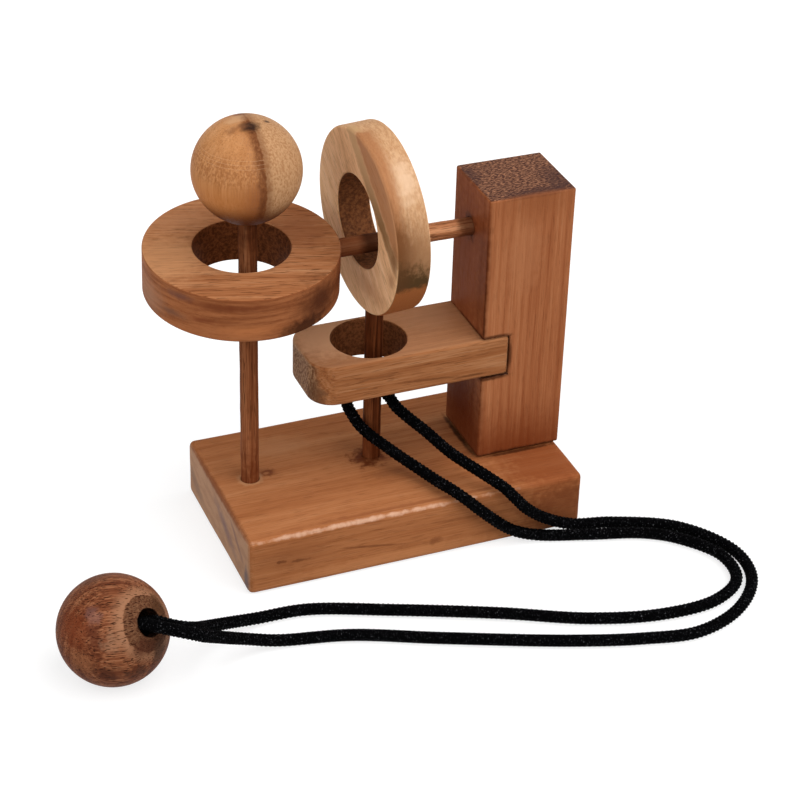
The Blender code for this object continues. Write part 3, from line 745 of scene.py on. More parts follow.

# %% [markdown]
# ## Teak
#
# Teak is dark and pale in layers: growth rings round the tree's pith, fine fibres along it, and short
# dark pores. The finish is solid, as if each piece were sawn from a plank: a point is measured from the
# pith line in millimetres, so the long grain of a face and the arcs of its end belong to one pattern.
# Each piece gets its own plank and colours, and then its own stains and some painted light and shade,
# placed where the real one shows them.

# %% The teak recipe
class Teak(Finish):
    """A finish sawn from a plank whose pith passes a place, with its length turned from X."""

    # How often a feature repeats in a millimetre, along the plank and across it.
    WANDER = (0.009, 0.05, 0.05)
    ZONE = (0.006, 0.065, 0.065)
    STREAK = (0.009, 0.34, 0.34)
    FIBRE = (0.05, 2.2, 2.2)
    PORE_ACROSS = 2.6
    # The same for ragged outlines, the tones that get a palette's four colours, and a soft edge's width.
    WOBBLE = (0.45, 0.45, 0.45)
    TONES = (0.28, 0.44, 0.56, 0.72)
    WALL_FADE = 0.8

    def __init__(self, name, palette, pith, turn, ring=3.0, rings=0.12, zones=0.5, streaks=0.4, fibres=0.62,
                 pores=0.35, pore_colour=(0.05, 0.015, 0.005), pore_length=6.0):
        super().__init__(name)
        self.turn = tuple(math.radians(angle) for angle in turn)
        self.point = self.millimetres()
        self.plank = self.local(self.point, pith, self.turn)
        self.wobble = self.noise(self.point, self.WOBBLE, 3.0) - 0.5
        wander = self.noise(self.plank, self.WANDER, 2.0)
        from_pith = self.length(self.stretch(self.plank, (0.0, 1.0, 1.0)))
        layer = self.add("Math", {"operation": "FRACT"}, {0: from_pith / ring + wander * 2.4})
        late = self.ease(layer, 0.30, 0.90) * self.ease(layer, 1.0, 0.90)
        zone = self.noise(self.plank, self.ZONE, 2.0)
        streak = self.noise(self.plank, self.STREAK, 4.0, 0.6)
        self.fibre = self.noise(self.plank, self.FIBRE, 3.0, 0.6)
        pore_size = (1.0 / pore_length, self.PORE_ACROSS, self.PORE_ACROSS)
        self.pore = self.ease(self.noise(self.plank, pore_size, 1.0), 0.58, 0.67)
        tone = 0.5 + (zone - 0.5) * zones + (streak - 0.5) * streaks + (self.fibre - 0.5) * fibres
        stops = list(zip(self.TONES, palette))
        self.colour = self.add("ValToRGB", {"stops": stops}, {0: tone - (late - 0.3) * rings})
        self.colour = self.blend(self.pore * pores, self.colour, pore_colour)
        self.relief = self.fibre * 0.5 + streak * 0.3 - self.pore * 0.7

    def tint(self, mask, colour):
        """Lay a colour over the wood where a mask says."""
        self.colour = self.blend(mask, self.colour, colour)

    def stain(self, place, size, colour, share, ragged=0.7, soft=0.7, turn=(0, 0, 0)):
        """A soft-edged patch round a place, of a size along its own axes, with a ragged outline."""
        turn = tuple(math.radians(angle) for angle in turn)
        away_from = self.length(self.local(self.point, place, turn, size)) + self.wobble * ragged
        self.tint(self.ease(away_from, 1.0, 1.0 - soft) * share, colour)

    def stains(self, *rows):
        """Several stains, one over the other, each a row of what a stain needs."""
        for row in rows:
            self.stain(*row)

    def facing(self, axis):
        """How squarely the surface faces along an axis, either way."""
        normal = self.add("TexCoord", {}, {}, "Normal")
        square = self.add("VectorMath", {"operation": "DOT_PRODUCT"}, {0: normal, 1: axis}, "Value")
        return self.add("Math", {"operation": "ABSOLUTE"}, {0: square})

    def end_grain(self, pale, dark, share, dashes=(0.2, 1.3, 1.3), line=0.5):
        """Another colour, dashed with a dark one, where the plank is cut across."""
        end = self.ease(self.facing(tuple(Euler(self.turn).to_matrix() @ Vector((1, 0, 0)))), 0.70, 0.95)
        dash = self.ease(self.noise(self.plank, dashes, 2.0), line - 0.1, line + 0.1)
        self.tint(end * share, self.blend(dash, pale, dark))

    def wall(self, axis, place, near, far):
        """A mask of the turned rim or bored wall between two distances from its axis."""
        across = tuple(1.0 - abs(part) for part in axis)
        off = self.length(self.stretch(self.local(self.point, place), across))
        band = self.ease(off, near - self.WALL_FADE, near) * self.ease(off, far + self.WALL_FADE, far)
        return band * self.ease(self.facing(axis), 0.80, 0.50)

    def turned(self, axis, place, near, far, pale, dark, share, grain=(0.9, 0.9, 0.9)):
        """Two speckled colours for such a rim or wall."""
        speckle = self.ease(self.noise(self.point, grain, 4.0, 0.7), 0.38, 0.62)
        self.tint(self.wall(axis, place, near, far) * share, self.blend(speckle, pale, dark))

    def axis(self, index):
        """One coordinate of the point, in millimetres."""
        return self.add("SeparateXYZ", {}, {0: self.point}, index)

    def done(self, roughness=0.52, shine=0.03, depth=0.00022):
        """Join everything to the shader."""
        bump = self.add("Bump", {}, {"Strength": 0.4, "Distance": depth, "Height": self.relief})
        rough = roughness + self.pore * 0.18 + (self.fibre - 0.5) * 0.25
        return self.set(Base_Color=self.colour, Roughness=rough, Normal=bump, Specular_IOR_Level=shine)


print("teak: features per millimetre across the plank, from zones to pores:",
      [feature[1] for feature in (Teak.ZONE, Teak.STREAK, Teak.FIBRE)] + [Teak.PORE_ACROSS])

# %% [markdown]
# ## Base finish
#
# The base is orange-brown with long quiet lines. Its front edge is rubbed pale by handling, with a painted
# highlight along it, its left end shows faint purple-grey arcs, and stains gather where the tall dowel and
# the post were glued in, while a shadow is painted round the ring dowel's foot. A stain is a row of its
# place and size in millimetres, its colour and its share, and then how ragged and how soft its outline is
# and how it is turned, where those differ from the usual.

# %% Dress the base
ALONG_X = (0, 0, 0)
ALONG_Z = (0, -90, 0)
# A rust red, for the ball dowel's foot and for a painted shadow round the ring dowel's foot.
RUST_AND_SHADE = (0.12, 0.026, 0.007)
UMBER = (0.04, 0.01, 0.003)


def dress(piece, material):
    """Give a piece its only material."""
    piece.data.materials.clear()
    piece.data.materials.append(material)
    print(f"{piece.name}: {material.name}, {len(material.node_tree.nodes)} nodes")


base_teak = Teak(
    "base_teak",
    [(0.29, 0.092, 0.031), (0.38, 0.135, 0.048), (0.44, 0.168, 0.064), (0.51, 0.22, 0.092)],
    pith=(0, -52, -20), turn=ALONG_X, ring=4.2, rings=0.07, streaks=0.26, fibres=0.48,
    pores=0.22)
base_teak.end_grain((0.49, 0.28, 0.165), (0.42, 0.23, 0.135), 0.9, dashes=(0.2, 0.12, 0.34), line=0.52)
base_teak.stains(
    # arcs and a dark corner on the left end
    ((-60, -8, 11.5), (5, 19, 4), (0.24, 0.14, 0.125), 0.85, 0.7, 1, (22, 0, 0)),
    ((-60, -20, 14), (5, 12, 1.6), (0.24, 0.125, 0.1), 0.7, 0.7, 0.7, (34, 0, 0)),
    ((-60, -29.5, 4), (4, 2.6, 9), (0.14, 0.105, 0.115), 0.8),
    ((-60, 24, 8), (4, 12, 4), (0.25, 0.14, 0.095), 0.6, 0.7, 0.7, (24, 0, 0)),
    # the dark left arris, the front arris rubbed pale and painted with a highlight, and a line behind it
    ((-59.6, 0, 20.4), (1.8, 44, 1.8), (0.22, 0.07, 0.028), 0.85),
    ((-18, -32.4, 20.8), (68, 1.4, 1.4), (0.74, 0.47, 0.33), 0.66, 1.3),
    ((0, -29.4, 21.3), (58, 1.3, 2), (0.26, 0.078, 0.028), 0.55, 0.8),
    # the darker right end
    ((50, -22, 20), (24, 22, 24), (0.23, 0.056, 0.016), 0.75),
    ((54, -33, 10), (20, 5, 12), (0.16, 0.045, 0.016), 0.7),
    # a cloud, a pale foot and short dark lines on the front
    ((-44, -33, 13), (19, 4, 8), (0.27, 0.088, 0.031), 0.55, 0.4, 1),
    ((-8, -33, 3.5), (50, 4, 4), (0.55, 0.23, 0.092), 0.45),
    ((-48.2, -33, 11.2), (3, 3, 0.8), (0.12, 0.034, 0.012), 0.65, 1.9),
    ((-42, -33, 10.4), (4, 3, 0.8), (0.13, 0.04, 0.014), 0.55, 1.6),
    ((-16, -33, 9.6), (18, 3, 0.7), (0.17, 0.052, 0.018), 0.65, 0.7, 0.7, (0, 9, 0)),
    ((6, -33, 6.5), (3, 3, 2.2), (0.2, 0.062, 0.022), 0.6, 1.4),
    ((20, -33, 13), (26, 3, 1.1), (0.2, 0.064, 0.022), 0.55, 0.7, 1, (0, 3, 0)),
    # a knot and pale glue beside the tall dowel
    ((-40.6, 4.2, 21.3), (4.2, 3, 2), (0.17, 0.044, 0.015), 0.85, 1.2),
    ((-41.2, 3.9, 21.3), (1.7, 1, 2), (0.42, 0.16, 0.062), 0.8, 0.8),
    ((-47.3, 2.9, 21.3), (5, 5, 2), (0.52, 0.27, 0.13), 0.6, 0.6, 0.3),
    # a painted shadow in rust red round the ring dowel's foot, a darker patch in front of it and a paler
    # one at the back
    ((-4.6, 1.8, 21.3), (9.5, 8, 2), RUST_AND_SHADE, 0.95, 1.5),
    ((-2, -10, 21.3), (9, 3.5, 2), (0.26, 0.088, 0.032), 0.5, 1.2),
    ((-33, 18, 21.3), (16, 9, 2), (0.47, 0.215, 0.098), 0.45),
    # the joint round the post's foot
    ((29.2, 4, 21.3), (1.5, 18, 2), UMBER, 0.9, 0.6),
    ((45, -12.2, 21.3), (17, 1.2, 2), UMBER, 0.8, 0.6))
dress(teak_base, base_teak.done())

# %% [markdown]
# ## Post and shelf finishes
#
# The post stands on end, so its top is dark end grain with short dashes, and it darkens towards its foot
# and beside its joints, with painted shade over its left face. The shelf is paler, its top painted lighter
# as if lit, with a few dark lines and a dark, rounded free end.

# %% Dress the post
post_teak = Teak(
    "post_teak",
    [(0.28, 0.08, 0.028), (0.36, 0.118, 0.045), (0.42, 0.15, 0.06), (0.5, 0.205, 0.09)],
    pith=(120, -60, 70), turn=ALONG_Z, ring=2.4, rings=0.1, zones=0.35, fibres=0.42,
    pores=0.15)
post_teak.end_grain((0.36, 0.165, 0.09), (0.05, 0.02, 0.016), 0.95, dashes=(0.2, 2.4, 0.85), line=0.46)
post_teak.stains(
    # dark margins of the end grain
    ((47, -11, 119.7), (18, 5.5, 1.5), (0.045, 0.019, 0.018), 0.7, 1),
    ((57, -4, 119.7), (7, 13, 1.5), (0.05, 0.022, 0.02), 0.6, 1),
    ((30.5, 8, 119.7), (4.5, 10, 1.5), (0.05, 0.022, 0.02), 0.6, 1),
    # painted shade over the left face, and its dark arris
    ((29, 4, 90), (1.6, 40, 60), (0.2, 0.05, 0.016), 0.75),
    ((29.4, -12, 90), (2.2, 2.2, 60), (0.14, 0.034, 0.011), 0.75, 0.3, 1),
    ((29, -8, 90), (3, 6, 50), (0.14, 0.036, 0.011), 0.6, 0.3, 1),
    ((29.2, -11.8, 70), (0.9, 0.9, 55), UMBER, 0.75, 0.5),
    # the foot
    ((29, 3, 36), (4, 34, 30), (0.105, 0.018, 0.004), 0.95, 0.3, 0.9),
    ((44, -12, 21), (60, 60, 26), (0.17, 0.034, 0.008), 0.85, 0.2, 1),
    ((44, 2, 21.4), (40, 40, 2), UMBER, 0.85),
    # round the cross dowel and along the shelf's housing
    ((29.4, 2.9, 103.6), (3, 6, 6), UMBER, 0.8, 1),
    ((33, -8, 68.6), (9, 30, 1.3), UMBER, 0.8, 0.6),
    ((33, -8, 52.8), (9, 30, 1.3), UMBER, 0.8, 0.6),
    ((39.6, -12, 60.7), (0.9, 4, 8.4), UMBER, 0.7, 0.5),
    # the middle and the top of the front
    ((43, -12, 98), (9, 3, 20), (0.46, 0.18, 0.078), 0.5),
    ((47, -12.2, 117.5), (22, 3, 12), (0.29, 0.092, 0.033), 0.65, 0.3, 1))
dress(teak_post, post_teak.done())

# %% Dress the shelf
UPRIGHT = (0, 0, 1)

shelf_teak = Teak(
    "shelf_teak",
    [(0.24, 0.078, 0.026), (0.32, 0.115, 0.041), (0.38, 0.15, 0.058), (0.47, 0.215, 0.098)],
    pith=(0, 60, 30), turn=ALONG_X, ring=2.6, rings=0.12, streaks=0.4)
# Painted light: the flat top and bottom faces are made lighter than the rest.
shelf_teak.tint(shelf_teak.ease(shelf_teak.facing(UPRIGHT), 0.8, 0.95) * 0.5, (0.56, 0.275, 0.135))
shelf_teak.end_grain((0.42, 0.235, 0.125), (0.14, 0.062, 0.03), 0.9, dashes=(0.2, 1.5, 0.9), line=0.5)
shelf_teak.stains(
    # the free end, and painted light on the top
    ((-29, -9, 57), (5, 8, 8), (0.13, 0.058, 0.028), 0.75, 1.2),
    ((-18, 8, 68.2), (22, 18, 3), (0.74, 0.41, 0.225), 0.9),
    ((18, 9, 68.2), (14, 12, 3), (0.5, 0.245, 0.125), 0.55),
    # lines along the front
    ((10, -12.2, 57), (15, 2, 0.7), (0.15, 0.05, 0.017), 0.65, 0.7, 0.7, (0, 4, 0)),
    ((-8, -12.2, 61.5), (11, 2, 0.5), (0.18, 0.062, 0.022), 0.6),
    ((26, -12.2, 55.5), (9, 2, 0.6), (0.11, 0.036, 0.013), 0.65))
shelf_teak.turned(UPRIGHT, (-5.6, 2.9, 60.7), 0, 13.4, (0.27, 0.098, 0.036), (0.12, 0.038, 0.013), 0.95)
dress(teak_shelf, shelf_teak.done())

# %% [markdown]
# ## Ring finishes
#
# The flat ring is pink-brown with straight grain, purple-grey clouds on its rim and a dark, rough hole.
# The upright ring is blond, with a greenish streak along its grain and a dark patch low on its rim.

# %% Dress the flat ring
FLAT_MIDDLE = (-48.5, 5.7, 101.4)
RING_RIM = (29.5, 40)
RING_HOLE = (0, 18)

flat_teak = Teak(
    "flat_ring_teak",
    [(0.26, 0.086, 0.031), (0.37, 0.138, 0.052), (0.43, 0.176, 0.073), (0.52, 0.245, 0.115)],
    pith=(-48, 30, -60), turn=(0, 0, -15), ring=2, rings=0.1, zones=0.35,
    streaks=0.5, fibres=0.85, pores=0.65)
flat_teak.stains(
    # light and shade on the top
    ((-74, 4, 109.5), (20, 22, 3), (0.62, 0.3, 0.135), 0.6),
    ((-62, 28, 109.5), (22, 12, 3), (0.5, 0.23, 0.108), 0.6),
    ((-28, 8, 109.5), (12, 14, 3), (0.27, 0.09, 0.034), 0.6))
flat_teak.turned(
    UPRIGHT, FLAT_MIDDLE, *RING_RIM, (0.38, 0.13, 0.048), (0.23, 0.068, 0.023), 0.88,
    grain=(0.04, 0.04, 0.5))
flat_teak.stains(
    # clouds and streaks of the rim, from left to right
    ((-80, 2, 99), (6, 16, 10), (0.4, 0.2, 0.115), 0.65, 0.8, 1),
    ((-76, -9, 98), (7, 10, 2.2), (0.17, 0.075, 0.045), 0.75, 0.8, 1),
    ((-74.5, -12, 105.2), (8, 9, 2), (0.16, 0.065, 0.045), 0.8, 0.8, 1),
    ((-61, -22, 104), (26, 14, 2.3), (0.17, 0.043, 0.015), 0.95, 0.4, 1),
    ((-69.5, -18, 98.6), (8, 7, 1.6), (0.2, 0.052, 0.019), 0.85, 0.6, 1),
    ((-56, -25, 95.6), (17, 9, 3.2), (0.48, 0.166, 0.058), 0.75, 0.4, 1),
    ((-32, -20, 100), (17, 12, 11), (0.08, 0.022, 0.008), 0.95, 0.5, 0.9),
    ((-36, -24, 93.5), (14, 9, 4), (0.045, 0.013, 0.005), 0.9, 0.8),
    ((-21, -10, 101), (8, 16, 10), (0.12, 0.03, 0.01), 0.85, 0.6, 1))
flat_teak.turned(UPRIGHT, FLAT_MIDDLE, *RING_HOLE, (0.19, 0.055, 0.017), (0.07, 0.017, 0.004), 0.97)
dress(teak_flat_ring, flat_teak.done())

# %% Dress the upright ring
ALONG_STREAK = (0, 44.4, -90)
SIDEWAYS = (1, 0, 0)
UPRIGHT_MIDDLE = (-4.7, 2.9, 112.6)

blond_teak = Teak(
    "upright_ring_teak",
    [(0.62, 0.32, 0.15), (0.8, 0.455, 0.23), (0.88, 0.53, 0.29), (0.93, 0.61, 0.37)],
    pith=(40, 10, 150), turn=ALONG_STREAK, ring=3.2, rings=0.08, zones=0.45, pores=0.35,
    pore_colour=(0.22, 0.09, 0.034))
ease, blend, tint = blond_teak.ease, blond_teak.blend, blond_teak.tint
streak_place = blond_teak.local(blond_teak.point, (-10.5, 6.8, 142.8), blond_teak.turn)
over_streak = blond_teak.add("SeparateXYZ", {}, {0: streak_place}, 2) + blond_teak.wobble * 2.2
inwards, height = blond_teak.axis(0), blond_teak.axis(2)
rim = blond_teak.wall(SIDEWAYS, UPRIGHT_MIDDLE, *RING_RIM)
blond_teak.turned(
    SIDEWAYS, UPRIGHT_MIDDLE, *RING_RIM, (0.62, 0.365, 0.195), (0.47, 0.235, 0.108), 0.85,
    grain=(1.4, 0.45, 0.45))
# A painted highlight on the upper front of the rim.
blond_teak.stain((-3, -18, 135.5), (6, 13, 12), (0.8, 0.535, 0.345), 0.8, 0.9, 1)
brown = ease(over_streak, 1, 4) * ease(inwards, -4, -8.6)
tint(brown * 0.86, blend(blond_teak.fibre, (0.5, 0.215, 0.09), (0.3, 0.115, 0.044)))
green = ease(over_streak, -3.4, -1.4) * ease(over_streak, 3.4, 1.6)
green_colour = blend(ease(height, 139, 116), (0.56, 0.33, 0.16), (0.2, 0.095, 0.032))
tint(green * ease(inwards, -8, -9.8) * 0.92, green_colour)
smudge = blond_teak.noise(streak_place, (0.07, 0.55, 0.55), 3, 0.65) - 0.5
smudged_height = height + smudge * 16 + inwards * 0.5
lower_rim = ease(smudged_height, 131, 114)
rim_brown = blend(ease(inwards, -8, 1), (0.165, 0.06, 0.02), (0.36, 0.175, 0.08))
tint(rim * lower_rim * 0.92, rim_brown)
olive = ease(smudged_height, 113, 104)
rim_olive = blend(ease(inwards, -8, 0), (0.105, 0.045, 0.016), (0.07, 0.036, 0.011))
tint(rim * olive * 0.92, rim_olive)
foot_rim = ease(height + blond_teak.wobble * 5, 103, 100)
rim_orange = blend(blond_teak.fibre, (0.46, 0.16, 0.05), (0.3, 0.082, 0.022))
tint(rim * foot_rim * 0.92, rim_orange)
blond_teak.stains(
    # shades low on the face and at the streak's foot
    ((-10.6, -8, 92), (4, 20, 6), (0.5, 0.22, 0.095), 0.6),
    ((-9.2, -25.5, 112.5), (4, 4.5, 7), (0.22, 0.098, 0.036), 0.8, 0.6, 1),
    ((-9, -23.5, 104), (3, 4.5, 5.5), (0.36, 0.15, 0.058), 0.7, 0.6, 1))
blond_teak.turned(
    SIDEWAYS, UPRIGHT_MIDDLE, *RING_HOLE, (0.19, 0.062, 0.02), (0.07, 0.018, 0.005), 0.97)
dress(teak_upright_ring, blond_teak.done())

# %% [markdown]
# ## Ball and bead finishes
#
# The ball joins two kinds of wood at an upright seam: honey on the left, with a dark streak against the
# seam and a knot at the top, and pale flecked sapwood on the right. The bead was turned round its bore, so
# its colours follow the distance from that line: dark round the mouth, then a tan band, then red-brown.

# %% Dress the ball
BALL_SEAM = -46.6
LATHE_PITCH = 1.1

ball_teak = Teak(
    "ball_teak",
    [(0.38, 0.145, 0.048), (0.5, 0.215, 0.078), (0.56, 0.255, 0.1), (0.64, 0.325, 0.145)],
    pith=(-80, 40, 136), turn=ALONG_Z, ring=5, rings=0.05, pores=0.2)
ease, blend, tint = ball_teak.ease, ball_teak.blend, ball_teak.tint
fleck = ball_teak.noise(ball_teak.point, (1.5, 1.5, 0.9), 2, 0.6)
over_seam = ball_teak.axis(0) + ball_teak.wobble * 1.6
height = ball_teak.axis(2)
sapwood = ease(over_seam, BALL_SEAM - 0.3, BALL_SEAM + 0.4)
speckled = ease(height, 137, 141.5) * ease(height, 149, 144.5)
tint(ease(height, 142, 133) * 0.6, (0.54, 0.19, 0.052))
tint(speckled * ease(fleck, 0.42, 0.58) * 0.6, (0.32, 0.112, 0.038))
near_seam = ease(over_seam, BALL_SEAM - 13, BALL_SEAM - 2)
tint(near_seam * ease(height, 143, 136) * 0.7, (0.3, 0.09, 0.026))
fringe = ease(over_seam, BALL_SEAM - 7.5, BALL_SEAM - 2)
tint(fringe * ease(ball_teak.fibre, 0.35, 0.65) * 0.7, (0.3, 0.115, 0.048))
streak_side = ease(over_seam, BALL_SEAM - 3.8, BALL_SEAM - 1.2)
broken = ease(ball_teak.noise(ball_teak.point, (0.9, 0.9, 0.35), 3, 0.7), 0.28, 0.6)
tint(streak_side * (0.5 + broken * 0.45), (0.15, 0.047, 0.016))
pale = blend(ease(fleck, 0.38, 0.66), (0.54, 0.3, 0.148), (0.4, 0.195, 0.086))
tint(sapwood, pale)
tint(sapwood * ease(over_seam, BALL_SEAM + 3.2, BALL_SEAM) * 0.65, (0.2, 0.075, 0.028))
# Painted shade: the ball darkens towards its underside.
tint(ease(height, 133, 124) * 0.92, (0.085, 0.02, 0.004))
ball_teak.stains(
    # the knot and its smear, a small knot and a pale patch
    ((-47.6, -1.6, 153.6), (4.4, 3.4, 3.2), (0.03, 0.014, 0.009), 0.95, 0.9),
    ((-52, -0.8, 153.2), (6.5, 2, 3), (0.24, 0.095, 0.04), 0.65, 1.8, 1),
    ((-41.2, 1.2, 152.9), (1.6, 1.2, 1.6), (0.045, 0.02, 0.014), 0.85, 0.8),
    ((-51, 4.5, 154), (6, 4, 2), (0.62, 0.36, 0.19), 0.65, 1))
lathe_turn = (height + ball_teak.wobble * 0.5) * (math.tau / LATHE_PITCH)
lathe = ball_teak.add("Math", {"operation": "SINE"}, {0: lathe_turn})
lathe_rows = ease(height, 143, 144.5) * ease(height, 147.5, 146.5)
# Painted highlights along a few lathe rows.
painted_glint_rows = ease(lathe, 0.9, 1) * lathe_rows
tint(painted_glint_rows * (1 - sapwood) * 0.3, (0.8, 0.5, 0.28))
ball_teak.relief = ball_teak.relief + lathe * 0.12
dress(teak_ball, ball_teak.done(roughness=0.45))

# %% Dress the bead
bead_teak = Teak(
    "bead_teak",
    [(0.085, 0.022, 0.009), (0.17, 0.05, 0.021), (0.26, 0.092, 0.04), (0.36, 0.15, 0.072)],
    pith=(-80, -40, 20), turn=(0, 0, -12), ring=3, rings=0.12,
    streaks=0.6, fibres=1, pores=0.95, pore_colour=(0.03, 0.009, 0.004), pore_length=2.4)
ease, blend, tint = bead_teak.ease, bead_teak.blend, bead_teak.tint
bore_frame = tuple(bore_axis.to_track_quat("X", "Z").to_euler())
from_bore = bead_teak.length(bead_teak.stretch(
    bead_teak.local(bead_teak.point, tuple(bead_centre / MM), bore_frame), (0, 1, 1)))
from_bore = from_bore + bead_teak.wobble * 1.2
bead_teak.stains(
    # the red-brown side with a painted purple highlight, and patches beside it
    ((-125, -62, 26), (8, 9, 8), (0.17, 0.036, 0.012), 0.7, 1),
    ((-119.5, -64, 30.5), (3.5, 4, 3.5), (0.22, 0.105, 0.085), 0.5, 1.4),
    ((-121, -68.5, 26.5), (3.5, 4.5, 5), (0.11, 0.03, 0.014), 0.7, 1.4),
    ((-116, -50, 34), (9, 5, 3.5), (0.14, 0.052, 0.027), 0.65, 1.5),
    ((-124.5, -67, 17), (6, 7, 5.5), (0.3, 0.115, 0.05), 0.5, 1.6),
    ((-116.2, -71, 25.5), (4, 4, 5), (0.42, 0.215, 0.12), 0.45, 1.6))
tan_band = ease(from_bore, 8.5, 9) * ease(from_bore, 13, 9.4)
tan_colour = blend(bead_teak.fibre, (0.44, 0.22, 0.12), (0.27, 0.118, 0.058))
tint(tan_band * 0.85 * (1 - bead_teak.pore * 0.6), tan_colour)
mottle = bead_teak.noise(bead_teak.point, (0.9, 0.9, 2.2), 3, 0.7)
round_mouth = ease(from_bore, 9, 8.5)
mouth_wood = blend(ease(mottle, 0.38, 0.62), (0.185, 0.085, 0.042), (0.085, 0.03, 0.014))
tint(round_mouth * 0.92, blend(bead_teak.pore, mouth_wood, (0.05, 0.017, 0.008)))
bead_teak.stains(
    # dark patches below the mouth and beside it
    ((-118.5, -71.5, 14), (7, 5, 4.5), (0.075, 0.022, 0.011), 0.85, 2.4, 1),
    ((-108.6, -72.5, 13), (7, 5, 4.5), (0.075, 0.028, 0.015), 0.8, 2.4, 1),
    ((-101.5, -69.5, 17.5), (4.5, 5, 6), (0.075, 0.032, 0.017), 0.85, 1.2),
    ((-98.5, -62, 28), (4.5, 5, 7), (0.07, 0.028, 0.012), 0.75, 1.2),
    ((-106, -72.2, 21.5), (6.5, 4, 4.5), (0.08, 0.024, 0.012), 0.75, 1.2))
tint(bead_teak.pore * 0.65, (0.03, 0.009, 0.004))
# Painted shade: the wall of the narrow bore is near black.
tint(ease(from_bore, 4.9, 4.3), (0.01, 0.004, 0.002))
dress(teak_bead, bead_teak.done(roughness=0.5, depth=0.0005))

# %% [markdown]
# ## Dowel and peg finishes
#
# The dowels are darker, streaked along their length. The two pegs between post and base stay hidden, and
# are pale beech.

# %% Dress the dowels and pegs
DARK_STICK = [(0.05, 0.011, 0.003), (0.11, 0.027, 0.008), (0.16, 0.044, 0.014), (0.24, 0.078, 0.028)]
BROWN_STICK = [(0.09, 0.024, 0.008), (0.19, 0.055, 0.019), (0.26, 0.085, 0.032), (0.36, 0.135, 0.056)]
PALE_STICK = [(0.3, 0.108, 0.045), (0.5, 0.195, 0.084), (0.62, 0.265, 0.12), (0.74, 0.36, 0.18)]
PEG_PALETTE = [(0.38, 0.22, 0.105), (0.47, 0.29, 0.145), (0.54, 0.345, 0.18), (0.6, 0.4, 0.22)]

for stick_piece, name, palette, pith, turn in (
        (ball_stick, "ball_dowel_teak", BROWN_STICK, (-20, 22, 40), ALONG_Z),
        (ring_stick, "ring_dowel_teak", DARK_STICK, (20, 12, 40), ALONG_Z),
        (cross_stick, "cross_dowel_teak", PALE_STICK, (0, 15, 80), ALONG_X)):
    dowel_teak = Teak(name, palette, pith, turn, ring=1.8, rings=0.15, streaks=1, fibres=0.7, pores=0.6)
    dowel_teak.end_grain((0.16, 0.06, 0.026), (0.06, 0.02, 0.008), 0.8)
    dowel_teak.stains(
        # the foot and head of the ball dowel, and painted shadow on the foot of the ring dowel
        ((-47.3, 2.9, 22), (6, 6, 22), RUST_AND_SHADE, 0.8),
        ((-47.3, 2.9, 116), (6, 6, 14), UMBER, 0.75),
        ((-3.7, 2.9, 24), (6, 6, 12), RUST_AND_SHADE, 0.6),
        # the end of the cross dowel, and painted shade where it runs into the upright ring
        ((29.4, 2.9, 103.6), (8, 16, 16), (0.085, 0.022, 0.008), 0.8),
        ((-12, 2.9, 103.6), (13, 16, 16), (0.14, 0.034, 0.01), 0.85, 0.4),
        ((-4.5, 2.9, 103.6), (7, 20, 20), UMBER, 0.92, 0.2, 0.6))
    dress(stick_piece, dowel_teak.done())
peg_beech = Teak("peg_beech", PEG_PALETTE, pith=(60, 20, 30), turn=ALONG_Z, ring=1.6, pores=0.2).done()
for node in ("post_peg_front", "post_peg_back"):
    dress(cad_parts[node], peg_beech)

# %% [markdown]
# ## Cord finish
#
# The cord is black, with small pale glints painted into its colour where its filaments catch the light. The
# braid's map counts yarns round the cord and pitches along it, so slanting filaments follow the braid.

# %% Dress the cord
FILAMENTS = 3 * math.tau

cord_finish = Finish("black_braid")
braid_place = cord_finish.add("UVMap", {"uv_map": "braid"}, {})
across_yarn = cord_finish.add("SeparateXYZ", {}, {0: braid_place}, 0)
along_yarn = cord_finish.add("SeparateXYZ", {}, {0: braid_place}, 1)
filament = cord_finish.add("Math", {"operation": "SINE"}, {0: (across_yarn + along_yarn) * FILAMENTS})
counter = cord_finish.add("Math", {"operation": "SINE"}, {0: (across_yarn - along_yarn) * FILAMENTS})
fuzz = cord_finish.noise(cord_finish.millimetres(), (1.9, 1.9, 1.9), 3, 0.7)
# Painted highlights: pale specks in the colour stand for glints on the filaments.
painted_glint = cord_finish.ease(fuzz, 0.6, 0.74)
cord_colour = cord_finish.blend(painted_glint, (0.001, 0.001, 0.0012), (0.14, 0.14, 0.152))
cord_bump = cord_finish.add(
    "Bump", {}, {"Strength": 0.6, "Distance": 0.0001, "Height": filament * 0.5 + counter * 0.5 + fuzz})
black_braid = cord_finish.set(
    Base_Color=cord_colour, Roughness=0.6 - painted_glint * 0.2, Normal=cord_bump, Specular_IOR_Level=0.008)
dress(braided_cord, black_braid)
dress(cord_end_knot, black_braid)

# %% [markdown]
# ## Floor and light
#
# The floor is white paper. It keeps the soft shadows, and a little light of its own, seen only by the
# camera and by reflections, lifts it to plain white. Two broad suns and a white sky light the wood evenly.

# %% White floor
FLOOR_LIFT = 0.70
FLOOR_TONE = (0.42, 0.42, 0.42)
FLOOR_SIZE = 6.0

clear_selection()
bpy.ops.mesh.primitive_plane_add(size=FLOOR_SIZE)
floor = named("floor")


def seen_directly(tree):
    """One for rays from the camera and for reflected and transmitted ones, nothing for the rest."""
    path = tree.nodes.new("ShaderNodeLightPath")
    rays = [Wire(path.outputs[name]) for name in ("Is Camera Ray", "Is Glossy Ray", "Is Transmission Ray")]
    return rays[0].sum("MINIMUM", rays[0] + rays[1] + rays[2], 1.0)


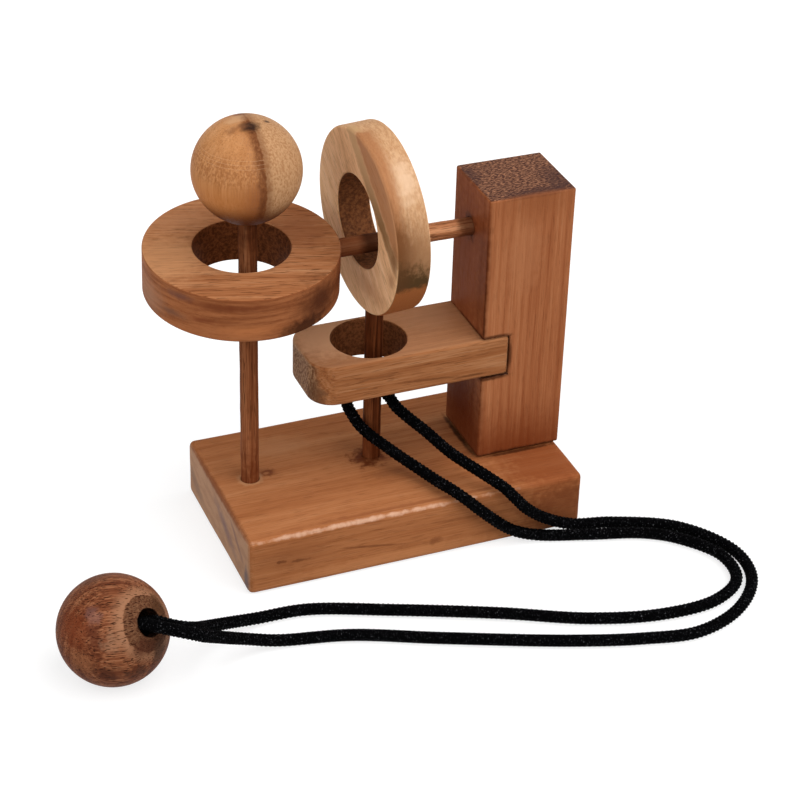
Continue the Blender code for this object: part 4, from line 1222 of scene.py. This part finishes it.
paper = Finish("white_paper")
paper.set(Base_Color=FLOOR_TONE, Roughness=1.0, Specular_IOR_Level=0.0)
glow = paper.add("Emission", {}, {"Color": (1.0, 1.0, 1.0), "Strength": FLOOR_LIFT})
plain = Wire(paper.shader.outputs[0])
lifted = paper.add("AddShader", {}, {0: plain, 1: glow})
shown = paper.add("MixShader", {}, {0: seen_directly(paper.tree), 1: plain, 2: lifted})
feed(paper.tree.nodes["Material Output"].inputs["Surface"], shown)
dress(floor, paper.material)

# %% Sky and suns
SKY_LIGHT = 0.28
SUNS = {
    "key": {"towards": (0.60, -0.48, 0.90), "strength": 2.35, "angle": 75},
    "fill": {"towards": (-0.78, -0.48, 0.60), "strength": 1.5, "angle": 80},
}

world = bpy.data.worlds.new("white_room")
bpy.context.scene.world = world
world.use_nodes = True
sky = world.node_tree.nodes["Background"]
sky.inputs["Color"].default_value = (1.0, 1.0, 1.0, 1.0)
feed(sky.inputs["Strength"], seen_directly(world.node_tree) * (1.0 - SKY_LIGHT) + SKY_LIGHT)
for name, sun in SUNS.items():
    lamp = bpy.data.lights.new(name, "SUN")
    lamp.energy = sun["strength"]
    lamp.angle = math.radians(sun["angle"])
    light = bpy.data.objects.new(name, lamp)
    light.rotation_mode = "QUATERNION"
    light.rotation_quaternion = Vector(sun["towards"]).to_track_quat("Z", "Y")
    bpy.context.scene.collection.objects.link(light)
print("lights:", ", ".join(SUNS))

# %% [markdown]
# ## What moves with what
#
# The stand is one body, the cord swings about the ring dowel, and the bead turns on the cord. Each new
# piece rides on its body and hides the plain solid that it stands for.

# %% Bodies, solids and slots
PLACES = [
    (teak_base, "stand", "base", "base_wood"),
    (teak_post, "stand", "post", "post_wood"),
    (teak_shelf, "stand", "shelf", "shelf_wood"),
    (teak_flat_ring, "stand", "flat_ring", "flat_ring_wood"),
    (teak_upright_ring, "stand", "upright_ring", "upright_ring_wood"),
    (teak_ball, "stand", "top_ball", "ball_wood"),
    (ball_stick, "stand", "ball_dowel", "dowel_wood"),
    (ring_stick, "stand", "ring_dowel", "dowel_wood"),
    (cross_stick, "stand", "cross_dowel", "dowel_wood"),
    (braided_cord, "cord", "cord_loop", "black_cord"),
    (cord_end_knot, "cord", "cord_knot", "black_cord"),
    (teak_bead, "bead", "bead", "bead_wood"),
]
for piece, body, node, slot in PLACES:
    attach(piece, body)
    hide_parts(node)
